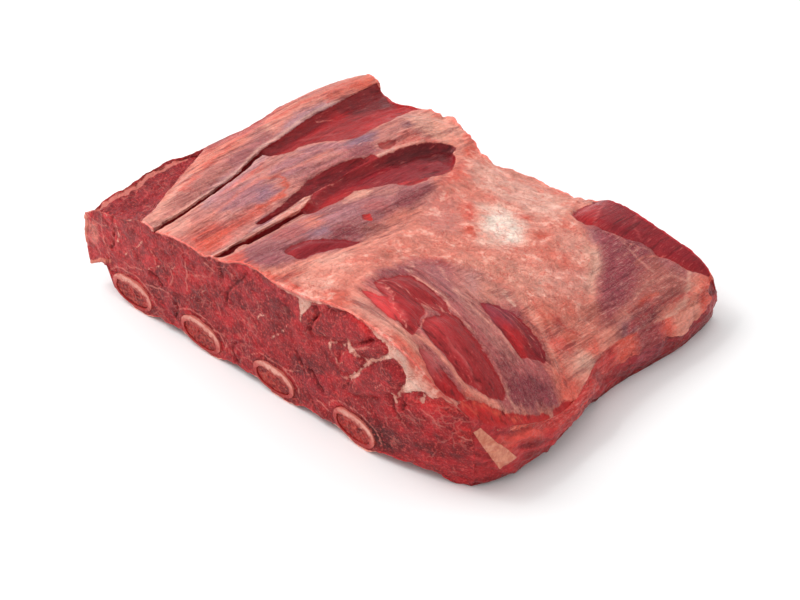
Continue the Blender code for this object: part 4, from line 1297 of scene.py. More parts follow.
def topRelief(places, marks):
    form = topForm
    x, y = marks["x"], marks["y"]
    strips, group = stripShare(x, y), fibresAcross(x, y)
    ridgesBack = noiseAt(places, (3.4, 34, 12), 31) + 0.6 * noiseAt(places, (2.4, 18, 8), 32)
    ridgesAcross = noiseAt(places, (30, 3.6, 12), 33) + 0.7 * noiseAt(places, (17, 2.5, 8), 34)
    lumps, fine = layeredNoise(places, 13, 3, 35), layeredNoise(places, (4.5, 6, 5), 2, 36)
    fatIn = eased(-marks["fat"] / 3 + 0.3) * (1 - group)
    bareIn = eased(-marks["bare"] / 1.6 + 0.5)
    relief = form["fatRise"] * fatIn * (1 - bareIn)
    lumpShare = form["lumpsLeast"] + (1 - form["lumpsLeast"]) * fatIn
    relief += (form["lumps"] * lumps + form["fine"] * fine) * lumpShare
    relief += strips * (1 - fatIn) * form["strips"] * ridgesBack + group * form["group"] * ridgesAcross
    relief -= form["bareDrop"] * bareIn
    relief += bladeRelief(x, y)
    relief += form["lineRise"] * eased(1 - marks["lines"] / 1.2)
    raw = eased(-signedDistance(x, y, bareMuscle["rawCorner"]) / 2.5)
    grain, ridges = layeredNoise(places, 3.6, 2, 37), noiseAt(places, (3, 9, 6), 40)
    relief += raw * (form["rawGrain"] * grain + form["rawRidges"] * ridges - form["rawDrop"])
    grain, ridges = layeredNoise(places, (2.8, 8, 4), 2, 38), noiseAt(places, (6, 40, 9), 39)
    return relief + eased(-marks["field"] / 3) * (form["fieldGrain"] * grain + form["fieldRidges"] * ridges)


# The sawn faces, front and back, are drawn in x and z, the back one from the same drawing mirrored.
backDrawing = {"mirror": -30, "scale": 1.35, "shift": 40.0, "web": 4}
# Between these places the fat's web follows the edge of the top, at a share of the fat's depth.
frontWeb = {"from": -14, "to": 92, "share": 0.4}


def faceMarks(places, top, isBack):
    drawing = backDrawing
    flat = places * np.array((1, 0, 1)) + np.array((0, drawing["shift"], 0)) * isBack[:, None]
    x = places[:, 0] + 0.8 * layeredNoise(flat, 6, 3, 41)
    z = places[:, 2] + 0.8 * layeredNoise(flat, 6, 3, 51)
    x = np.where(isBack > 0.5, drawing["mirror"] - x, x)
    z = np.where(isBack > 0.5, z * drawing["scale"], z)
    under = top - places[:, 2]
    depth = smoothBetween(*zip(*fatCap["frontDepth"]), x)
    inside = (x > frontWeb["from"]) & (x < frontWeb["to"])
    web = np.where(inside, under - frontWeb["share"] * depth, farAway)
    web = np.minimum(nearestOutline(x, z, faceFat, web), nearestLine(x, z, fatWeb))
    web = np.where(isBack > 0.5, under - drawing["web"] + 2 * noiseAt(places, 15, 61), web)
    drawn = [(0.8, line) for line in seams] + [(0.9, ribArc(rib, 3.4)) for rib in ribs]
    first, second, owner = cellNoise(flat + 3.0 * layeredNoise(flat, 12, 2, 62)[:, None], (13, 9, 8), 63)
    return {
        "x": x, "z": z, "web": web, "under": under, "edge": second - first, "owner": owner,
        "lines": nearestLine(x, z, drawn), "folds": nearestLine(x, z, [(0, line) for line in creases]),
        "muscles": nearestOutline(x, z, roundMuscles, np.full(len(x), farAway)),
    }


def ribSection(rib, turn, grow):
    # A flattened round section, as (x, z), at each angle.
    flatness = 0.85
    wide = np.sign(np.cos(turn)) * np.abs(np.cos(turn)) ** flatness * (rib["width"] / 2 + grow)
    tall = np.sign(np.sin(turn)) * np.abs(np.sin(turn)) ** flatness * (rib["height"] / 2 + grow)
    c, s = math.cos(rib["tilt"]), math.sin(rib["tilt"])
    return rib["x"] + wide * c - tall * s, rib["z"] + wide * s + tall * c


def ribArc(rib, grow):
    # The upper half of a rib's outline, grown, as a line of points.
    return np.stack(ribSection(rib, np.radians(np.arange(5, 176, 10.0)), grow), -1)


# Heights in mm of what makes up the relief of the sawn faces.
faceForm = {
    "grain": 0.24, "lumps": 0.55, "bundles": 0.35, "drop": 0.2, "foldDepth": 1.2, "muscleRise": 1.9,
    "muscleEdge": 0.9, "seamRise": 0.35, "webRise": 0.45,
}


def faceRelief(places, marks):
    form = faceForm
    relief = form["grain"] * layeredNoise(places, 2.6, 2, 71) + form["lumps"] * layeredNoise(places, 9, 2, 72)
    relief += form["bundles"] * eased(marks["edge"] * 2.2) - form["drop"]
    relief -= form["foldDepth"] * eased(1 - marks["folds"] / 1.3)
    relief += form["muscleRise"] * eased(-marks["muscles"] / 6)
    relief -= form["muscleEdge"] * eased(1 - np.abs(marks["muscles"]) / 1.3)
    relief += form["seamRise"] * eased(0.5 - marks["lines"] / 1.2)
    relief += form["webRise"] * eased(-marks["web"] / 1.5)
    return relief


# The walls of the slab, where the fibres slope down towards the front.
wallForm = {"lumps": 1.5, "folds": 1.1, "grain": 0.35, "drop": 0.6, "slope": 0.35}


def sloped(places, y):
    return places + np.outer(y, (0, 0, wallForm["slope"]))


def wallRelief(places):
    form = wallForm
    relief = form["lumps"] * layeredNoise(places, (9, 16, 7), 3, 81)
    relief += form["folds"] * noiseAt(sloped(places, places[:, 1]), (9, 24, 4), 82)
    return relief + form["grain"] * layeredNoise(places, 2.6, 2, 83) - form["drop"]


# How the slab's walls swell, tuck under and stand, in mm and in shares of the slab.
skinForm = {
    "swellShare": 8, "rightSwell": 4.0, "leftSwell": 2.5, "tuck": 4.5, "tuckFrom": (45, 45), "tuckShare": 6,
    "footBack": 132.0, "footFrom": (0.85, 0.15), "hair": 0.001, "topFrom": 0.97, "upFrom": (0.25, 0.5),
    "outFrom": (0.3, 0.4), "underRelief": 0.5, "underOnly": 0.9,
}


# The slab's fine mesh, in mm first: its cells carry their share along, back and up.
def buildSlab():
    form = skinForm
    made = joinedBlock("slabBlock", (slab["columns"], slab["rows"], slab["levels"]))
    u, v, w = np.clip(meshPoints(made), 0, 1).T
    u = guidedColumns(u, v)
    x, y = planPoint(u, v).T
    marks = topMarks(np.stack([x, y, 0 * x], -1))
    top = topHeight(x, y) + stripCrown(x, y)
    under = underHeight(x, y)
    belly = 4 * w * (1 - w)
    swell = form["rightSwell"] * eased(1 - (1 - u) * form["swellShare"])
    swell = swell - form["leftSwell"] * eased(1 - u * form["swellShare"])
    tuck = form["tuck"] * (1 - w) ** 2 * stepUp(x, *form["tuckFrom"]) * eased(1 - v * form["tuckShare"])
    foot = np.clip(2 * (1 - w), 0, 1) * stepUp(v, *form["footFrom"]) * np.maximum(form["footBack"] - y, 0)
    z = under + w * (top - marks["depth"] - under)
    places = np.stack([x + swell * belly, y + tuck + foot, z], -1)
    movePoints(made, places)
    outward = pointNormals(made)

    low, high = form["hair"], 1 - form["hair"]
    inner = (v > low) & (v < high) & (u > low) & (u < high)
    onTop = stepUp(outward[:, 2], *form["upFrom"]) * (w > form["topFrom"])
    onTop = np.maximum(onTop, 1.0 * (w > high) * inner)
    onFront = stepUp(-outward[:, 1], *form["outFrom"]) * (v < low)
    onBack = stepUp(outward[:, 1], *form["outFrom"]) * (v > high)
    onUnder = stepUp(-outward[:, 2], *form["outFrom"]) * (w < low)
    onWall = np.clip(1 - onTop - onFront - onBack - onUnder, 0, 1)
    marks = topMarks(places)
    face = faceMarks(places, top, 1.0 * (v > 0.5))
    relief = onTop * topRelief(places, marks) + (onFront + onBack) * faceRelief(places, face)
    relief += onWall * wallRelief(places)
    relief -= onUnder * form["underRelief"] * np.abs(layeredNoise(places, 7, 2, 91))
    relief = np.where((w < low) & (onUnder < form["underOnly"]), np.minimum(relief, 0), relief)
    places = places + outward * relief[:, None]
    places[:, 2] = np.maximum(places[:, 2], 0)
    movePoints(made, places)
    return made, places, paintValues(places, marks, face, (onTop, onFront + onBack, onWall, onUnder))


# Painted highlights: pale lines along the crests beside the guided edges, by distance from the edge, half
# width and strength of each.
edgeHighlights = {"lines": ((-2.4, 1.5, 0.55), (2.8, 1.5, 0.35)), "tone": "cream", "end": 96}
leftWallAreas = [("fleshRose", 30, 0.5, [(-90, 0), (0, 0), (0, 70), (-90, 70)])]
leftWallEdge = -100
# The scarlet edge of the sawn face: depth, its wandering and strength.
faceEdge = {"tone": "scarlet", "deep": 2.7, "wander": 1.8, "strength": 0.85}


def paintValues(places, marks, face, sides):
    onTop, sawn, onWall, onUnder = sides
    flat = places * np.array((1, 1, 0))
    strips, group = stripShare(*places.T[:2]), fibresAcross(*places.T[:2])
    back, side = noiseAt(flat, (3, 24, 9), 103), noiseAt(flat, (24, 3, 9), 104)
    broad, low = layeredNoise(flat, 10, 3, 105), layeredNoise(flat, 10, 3, 106)
    x = places[:, 0] + 1.0 * broad + 0.8 * strips * back + 4 * group * side
    y = places[:, 1] + (1.0 + 1.5 * strips) * low + 5 * strips * back + 0.8 * group * side
    cover = painted(x, y, "peach", coverAreas, coverLines)
    # Painted highlights along the crests beside the two guided groove walls.
    for _, line in guides:
        beside = places[:, 0] - np.interp(places[:, 1], *np.array(line)[:, ::-1].T)
        crestHighlights = [strength * eased(1 - np.abs(beside - at) / half) for at, half, strength in edgeHighlights["lines"]]
        cover = stroked(cover, sum(crestHighlights) * (places[:, 1] < edgeHighlights["end"]), edgeHighlights["tone"])
    flesh = painted(x, y, "lean", fleshAreas, fleshLines)
    faceX, faceZ = face["x"] + 2 * broad, face["z"] + 2 * low
    sawnFlesh = painted(faceX, faceZ, "raw", sawnAreas) * (0.68 + 0.6 * face["owner"])[:, None]
    wallZ = places[:, 2] + 1.5 * low
    onLeft = (places[:, 0] < leftWallEdge)[:, None]
    wallFlesh = painted(y, wallZ, "lean", wallAreas)
    wallFlesh = np.where(onLeft, painted(y, wallZ, "lean", leftWallAreas), wallFlesh)
    wallFlesh *= (0.7 + 0.55 * eased(0.5 + 1.3 * noiseAt(sloped(places, y), (9, 22, 3.5), 108)))[:, None]
    wallCover = painted(y, wallZ, "coral", wallCoverAreas)

    raggedEdge = eased(1 - face["under"] / (faceEdge["deep"] + faceEdge["wander"] * noiseAt(places, 6, 101)))
    sawnCover = painted(faceX, faceZ, "pale", webAreas)
    sawnCover = stroked(sawnCover, faceEdge["strength"] * raggedEdge, faceEdge["tone"])
    ribGap = np.min([np.abs(places[:, 0] - rib["x"]) / rib["width"] for rib in ribs], axis=0)
    overRib = stepUp(ribGap, 0.62, -0.2)
    rawCorner = eased(0.5 - signedDistance(marks["x"], marks["y"], bareMuscle["rawCorner"]) / 1.5)
    slanted = np.stack([places[:, 0] * 0.2, places[:, 1] * 0.55 + places[:, 2], places[:, 1] * 0.12], -1)
    wallLines = np.abs(noiseAt(slanted, 9, 102)) * 12 + 0.3
    hang = np.where(places[:, 0] > 0, np.interp(places[:, 1], *zip(*fatHang)), 1.5)
    wallEdge = (hang - face["under"] + 3.2 * layeredNoise(places, (7, 10, 6), 3, 107)).clip(-3, 3)
    faceBare = np.maximum(-face["web"], 2.4 * raggedEdge - 1.4)
    # Painted shade: the bare muscle darkens in the slits and in the deeper hollows of the top.
    hollow = np.maximum(0.6 * eased(marks["slit"] / 2.5), 0.3 * eased((marks["depth"] - 2) / 3))
    top, cutFace, wall, under = (weight[:, None] for weight in sides)
    return {
        "bare": onTop * marks["bare"] + sawn * faceBare + onWall * wallEdge + onUnder * (7 * overRib - 3),
        "cover": top * cover + cutFace * sawnCover + wall * wallCover + under * toneOf("pink"),
        "flesh": top * flesh + cutFace * sawnFlesh + (wall + under) * wallFlesh,
        "raw": np.clip(sawn + onTop * rawCorner + 0.5 * onWall, 0, 1),
        "soft": onTop * (1 - strips) * (1 - group) * eased(0.4 - marks["fat"] / 6) + sawn,
        "lines": onTop * marks["lines"] + sawn * face["lines"] + onWall * wallLines + onUnder * 6,
        "across": group * onTop,
        # depth is painted shade: darkening in the slits and hollows of the top and in the creases of the sawn
        # faces.
        "depth": onTop * hollow + sawn * 0.8 * eased(1.0 - face["folds"] / 1.1),
    }


def ragged(outline, step, amount, seed):
    # The outline as a smooth closed line with small wandering.
    count = len(outline)
    loop = [outline[n % count] for n in range(-2, count + 3)]
    path = smoothBetween(np.arange(-2, count + 3), loop, np.arange(count * step) / step)
    away = np.stack([path[:, 0], path[:, 1], 0 * path[:, 0]], -1)
    return path + amount * np.stack([layeredNoise(away, 7, 2, seed), layeredNoise(away, 7, 2, seed + 5)], -1)


def buildPrism(name, path, low, high):
    curve = bpy.data.curves.new(name, "CURVE")
    curve.dimensions, curve.fill_mode, curve.extrude = "2D", "BOTH", (high - low) / 2
    spline = curve.splines.new("POLY")
    spline.points.add(len(path) - 1)
    for point, (x, y) in zip(spline.points, path):
        point.co = (x, y, 0, 1)
    spline.use_cyclic_u = True
    holder = bpy.data.objects.new(name, curve)
    bpy.context.scene.collection.objects.link(holder)
    holder.location.z = (high + low) / 2
    selectOnly(holder)
    bpy.ops.object.convert(target="MESH")
    bpy.ops.object.transform_apply(location=True, rotation=True, scale=True)
    made = bpy.context.object
    editWhole(made, bpy.ops.mesh.remove_doubles, threshold=0.001)
    faceOutward(made)
    return made


def fatTool():
    form = fatCap
    floor = joinedBlock("fatFloor", form["cells"])
    share = meshPoints(floor)
    x, y = (form["corner"][n] + share[:, n] * form["span"][n] for n in (0, 1))
    front = smoothBetween(*zip(*form["frontDepth"]), x)
    depth = front + (form["innerDepth"] - front) * stepUp(y, sawnFace, form["blend"])
    low = topHeight(x, y) - depth
    movePoints(floor, np.stack([x, y, low + share[:, 2] * (form["lid"] - low)], -1))
    path = ragged(form["outline"], form["pieces"], form["raggedness"], 111)
    prism = buildPrism("fatPrism", path, 0.0, form["lid"] + form["over"])
    cut(floor, prism, "INTERSECT")
    removeThings(prism)
    return floor


def tendonTool():
    # A wedge, narrower at its top.
    bpy.ops.mesh.primitive_cube_add(size=1)
    made = bpy.context.object
    points = meshPoints(made) * np.array(tendonPatch["size"])
    points[:, 1] *= np.where(points[:, 2] > 0, tendonPatch["top"], 1)
    movePoints(made, points)
    turn = Matrix.Rotation(tendonPatch["facing"], 4, "Z") @ Matrix.Rotation(tendonPatch["tilt"], 4, "X")
    made.data.transform(Matrix.Translation(tendonPatch["at"]) @ turn)
    return made


def bowAt(y):
    share = (y - sawnFace) / ribLength
    return ribBow * (1 - (2 * np.clip(share, 0, 1) - 1) ** 2)


channelForm = {"around": 96, "along": 8, "gap": 0.05, "over": 20}


def ribChannel(rib):
    form = channelForm
    bpy.ops.mesh.primitive_cylinder_add(vertices=form["around"], radius=1, depth=1)
    made = bpy.context.object
    for n in range(1, form["along"]):
        level = n / form["along"] - 0.5
        editWhole(made, bpy.ops.mesh.bisect, plane_co=(0, 0, level), plane_no=(0, 0, 1))
    points = meshPoints(made)
    x, z = ribSection(rib, np.arctan2(points[:, 1], points[:, 0]), form["gap"])
    y = sawnFace + ribLength / 2 - points[:, 2] * (ribLength + form["over"])
    movePoints(made, np.stack([x, y, z + bowAt(y)], -1))
    faceOutward(made)
    return made


def spreadValues(points, values, things):
    # Each point of a cut piece takes its values from the nearest point of the whole slab.
    tree = KDTree(len(points))
    for n, point in enumerate(points):
        tree.insert(point, n)
    tree.balance()
    for thing in things:
        nearest = np.array([tree.find(point)[1] for point in meshPoints(thing)])
        for name, whole in values.items():
            keepValues(thing, name, whole[nearest])


def finishPiece(thing, name, nodes, sharpness=55):
    thing.name = name
    thing.data.name = name
    selectOnly(thing)
    bpy.ops.object.shade_smooth_by_angle(angle=math.radians(sharpness))
    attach(thing, "root")
    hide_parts(*nodes)
    return thing


thinForm = {"share": 0.72, "below": 20, "facing": -0.85, "factor": 1000}


def thinUnderside(thing):
    # Fewer triangles on the underside, which needs no fine relief.
    points, outward = meshPoints(thing), pointNormals(thing)
    low = (outward[:, 2] < thinForm["facing"]) & (points[:, 2] < thinForm["below"])
    group = thing.vertex_groups.new(name="underside")
    group.add(np.flatnonzero(low).tolist(), 1.0, "REPLACE")
    factor = thinForm["factor"]
    applied(thing, "DECIMATE", ratio=thinForm["share"], vertex_group="underside", vertex_group_factor=factor)
    thing.vertex_groups.clear()


def buildMeat():
    whole, points, values = buildSlab()
    print("slab shaped")
    thinUnderside(whole)
    fatShape, tendonShape = fatTool(), tendonTool()
    fat, tendon, lean = copied(whole, "fat"), copied(whole, "tendon"), copied(whole, "lean")
    cut(fat, fatShape, "INTERSECT")
    cut(tendon, tendonShape, "INTERSECT")
    cut(lean, fatShape, "DIFFERENCE")
    cut(lean, tendonShape, "DIFFERENCE")
    for rib in ribs:
        channel = ribChannel(rib)
        cut(lean, channel, "DIFFERENCE")
        removeThings(channel)
    spreadValues(points, values, (fat, tendon, lean))
    for thing in (fat, tendon, lean):
        movePoints(thing, toPart(meshPoints(thing)))
    removeThings(whole, fatShape, tendonShape)
    return lean, fat, tendon


lean, fat, tendon = buildMeat()
print("meat, fat and tendon made")


# The bones: cells around and along, the last cell of each stretch of their loop, and their sawn ends.
boneForm = {
    "around": 80, "along": 96, "outer": 40, "back": 48, "inner": 88, "frontOut": 0.7, "backIn": 1.0,
    "wander": 0.9, "belowWander": 0.4, "bevel": 0.15, "rough": 0.16, "round": 6, "apart": 50.0,
    "riseTurn": 0.2,
}
boneWall = {"thick": 2.9, "above": 1.7, "right": 0.3}
sawnSharpness = 40


def ribWall(turn):
    # The bone is thick above and at the right, thin below and at the left.
    return boneWall["thick"] + boneWall["above"] * np.sin(turn) + boneWall["right"] * np.cos(turn)


# A torus primitive's rings become the rib's outer wall, its back end, its inner wall and its front end.
def buildBone(number, rib):
    form = boneForm
    bpy.ops.mesh.primitive_torus_add(
        major_segments=form["around"], minor_segments=form["along"], major_radius=2, minor_radius=1,
        generate_uvs=False,
    )
    made = bpy.context.object
    points = meshPoints(made)
    turn = np.arctan2(points[:, 1], points[:, 0])
    around = np.arctan2(points[:, 2], np.hypot(points[:, 0], points[:, 1]) - 2)
    loop = np.round(around / (2 * np.pi) * form["along"]) % form["along"]
    front, back = sawnFace - form["frontOut"], sawnFace + ribLength - form["backIn"]
    stretches = [loop < form["outer"], loop < form["back"], loop < form["inner"]]
    steps, endSteps = form["outer"] - 1, form["back"] - form["outer"] + 1
    none, full = np.zeros(len(loop)), np.ones(len(loop))
    share = np.select(stretches, [loop / steps, full, 1 - (loop - form["back"]) / steps], none)
    inward = np.select(stretches, [none, (loop - steps) / endSteps, full], (form["along"] - loop) / endSteps)
    y = front + share * (back - front)
    spots = np.stack([form["round"] * np.cos(turn), y, form["round"] * np.sin(turn)], -1)
    spots = spots + form["apart"] * number
    above = form["belowWander"] + (1 - form["belowWander"]) * (np.sin(turn) > 0)
    wall = ribWall(turn) + form["wander"] * layeredNoise(spots, (3.5, 30, 3.5), 2, 121) * above
    bevel = form["bevel"] * eased(1 - inward * 3) * eased(np.minimum(y - front, back - y) < 1)
    outerX, outerZ = ribSection(rib, turn, -inward * wall - bevel)
    places = np.stack([outerX, y, outerZ + bowAt(y)], -1)
    ends = ((loop >= form["outer"]) & (loop < form["back"])) | (loop >= form["inner"])
    rough = layeredNoise(places + form["apart"] * number, 1.8, 2, 122)
    places[:, 1] += np.where(ends, form["rough"] * rough, 0)
    movePoints(made, toPart(places))
    keepValues(made, "inward", inward)
    keepValues(made, "rise", np.sin(turn + form["riseTurn"]))
    faceOutward(made)
    return finishPiece(made, f"rib_bone_{number}_sawn", [f"rib_bone_{number}"], sawnSharpness)


# The marrow: a ball's rings, its ends flattened at the cap rings, a little inside the bone's ends.
marrowForm = {
    "rings": 72, "around": 64, "cap": 18, "frontOut": 0.1, "backIn": 1.6, "gap": 0.3, "rough": 0.5,
    "apart": 50.0, "rim": 1.2,
}


def buildMarrow(number, rib):
    form = marrowForm
    rings, cap = form["rings"], form["cap"]
    bpy.ops.mesh.primitive_uv_sphere_add(segments=form["around"], ring_count=rings, radius=1)
    made = bpy.context.object
    points = meshPoints(made)
    ring = np.round(np.arccos(np.clip(points[:, 2], -1, 1)) / math.pi * rings)
    turn = np.arctan2(points[:, 1], points[:, 0])
    radius = np.clip(np.minimum(ring, rings - ring) / cap, 0, 1)
    share = np.clip((ring - cap) / (rings - 2 * cap), 0, 1)
    front, back = sawnFace - form["frontOut"], sawnFace + ribLength - form["backIn"]
    y = back - share * (back - front)
    rimX, rimZ = ribSection(rib, turn, -ribWall(turn) - form["gap"])
    x = rib["x"] + (rimX - rib["x"]) * radius
    z = rib["z"] + (rimZ - rib["z"]) * radius + bowAt(y)
    places = np.stack([x, y, z], -1)
    spongy = layeredNoise(places + form["apart"] * number, 2.2, 3, 131)
    onEnd = (ring <= cap) | (ring >= rings - cap)
    outward = np.where(ring <= cap, 1, -1)
    places[:, 1] += np.where(onEnd, outward * form["rough"] * spongy * eased(form["rim"] - radius), 0)
    movePoints(made, toPart(places))
    made.data.uv_layers.remove(made.data.uv_layers[0])
    faceOutward(made)
    return finishPiece(made, f"rib_marrow_{number}_spongy", [f"rib_marrow_{number}"], sawnSharpness)


bones, marrows = [], []
for number, rib in enumerate(ribs, 1):
    bones.append(buildBone(number, rib))
    marrows.append(buildMarrow(number, rib))
print("bones and marrow made")


# Shader maths: a wrapped socket whose operators add Math nodes.
class Value:
    def __init__(self, surface, socket):
        self.surface, self.socket = surface, socket

    def math(self, operation, first, second):
        return self.surface.node("ShaderNodeMath", {"operation": operation}, {0: first, 1: second})

    def __add__(self, other):
        return self.math("ADD", self, other)

    def __radd__(self, other):
        return self.math("ADD", other, self)

    def __sub__(self, other):
        return self.math("SUBTRACT", self, other)

    def __rsub__(self, other):
        return self.math("SUBTRACT", other, self)

    def __mul__(self, other):
        return self.math("MULTIPLY", self, other)

    def __rmul__(self, other):
        return self.math("MULTIPLY", other, self)

    def absolute(self):
        return self.math("ABSOLUTE", self, 0)


class Surface:
    def __init__(self, name):
        self.material = bpy.data.materials.new(name)
        self.material.use_nodes = True
        self.tree = self.material.node_tree
        self.shader = self.tree.nodes["Principled BSDF"]

    def node(self, kind, settings=None, inputs=None, output=0):
        made = self.tree.nodes.new(kind)
        for name, value in (settings or {}).items():
            setattr(made, name, value)
        for name, value in (inputs or {}).items():
            self.feed(made.inputs[name], value)
        return Value(self, made.outputs[output])

    def feed(self, socket, value):
        if isinstance(value, Value):
            self.tree.links.new(value.socket, socket)
        elif isinstance(value, tuple) and len(value) == 3 and socket.type == "RGBA":
            socket.default_value = linear(value)
        else:
            socket.default_value = value

    def stored(self, name, output=2):
        return self.node("ShaderNodeAttribute", {"attribute_name": name}, output=output)

    def places(self, stretch=(1, 1, 1), turn=0.0):
        raw = self.node("ShaderNodeTexCoord", output=3)
        settings = {"Vector": raw, "Rotation": (0, 0, turn), "Scale": stretch}
        return self.node("ShaderNodeMapping", {"vector_type": "POINT"}, settings)

    def noise(self, vector, size, detail=2.0, roughness=0.5, distortion=0.0, output=0):
        # size is that of one lump, in mm
        settings = {
            "Vector": vector, "Scale": 1 / (size * mm), "Detail": detail, "Roughness": roughness,
            "Distortion": distortion,
        }
        return self.node("ShaderNodeTexNoise", {"noise_dimensions": "3D"}, settings, output)

    def cells(self, vector, size, feature="F1"):
        settings = {"Vector": vector, "Scale": 1 / (size * mm)}
        return self.node("ShaderNodeTexVoronoi", {"feature": feature}, settings)

    def fade(self, value, low, high):
        # 0 at low, 1 at high, smooth between; low may be the larger
        settings = {0: value, 1: low, 2: high, 3: 0.0, 4: 1.0}
        return self.node("ShaderNodeMapRange", {"interpolation_type": "SMOOTHSTEP"}, settings)

    def blend(self, factor, first, second):
        settings = {"data_type": "RGBA", "blend_type": "MIX", "clamp_factor": True}
        return self.node("ShaderNodeMix", settings, {0: factor, 6: first, 7: second}, output=2)

    def washed(self, tone, colours, washes):
        # Each wash is a colour's name, a value, where it fades from nothing to all, and its strength.
        for name, value, low, high, strength in washes:
            tone = self.blend(self.fade(value, low, high) * strength, tone, colours[name])
        return tone

    def scaled(self, colour, gain):
        return self.node("ShaderNodeVectorMath", {"operation": "SCALE"}, {0: colour, "Scale": gain})

    def bump(self, height, distance, strength=1.0):
        settings = {"Height": height, "Distance": distance * mm, "Strength": strength}
        return self.node("ShaderNodeBump", None, settings)

    def set(self, **sockets):
        for name, value in sockets.items():
            self.feed(self.shader.inputs[name.replace("_", " ")], value)
        return self.material


# fleckAndGlint and speck are pale marks, partly real and partly painted wet glints; deep gives dark streaks
# and gaps and also the painted shade of slits, hollows and creases.
meatColours = {
    "thread": (196, 66, 52), "fleckAndGlint": (244, 198, 180), "shade": (128, 46, 50), "fibre": (216, 112, 102),
    "deep": (88, 8, 14), "speck": (214, 88, 80), "seam": (228, 136, 122), "blush": (226, 104, 84),
}


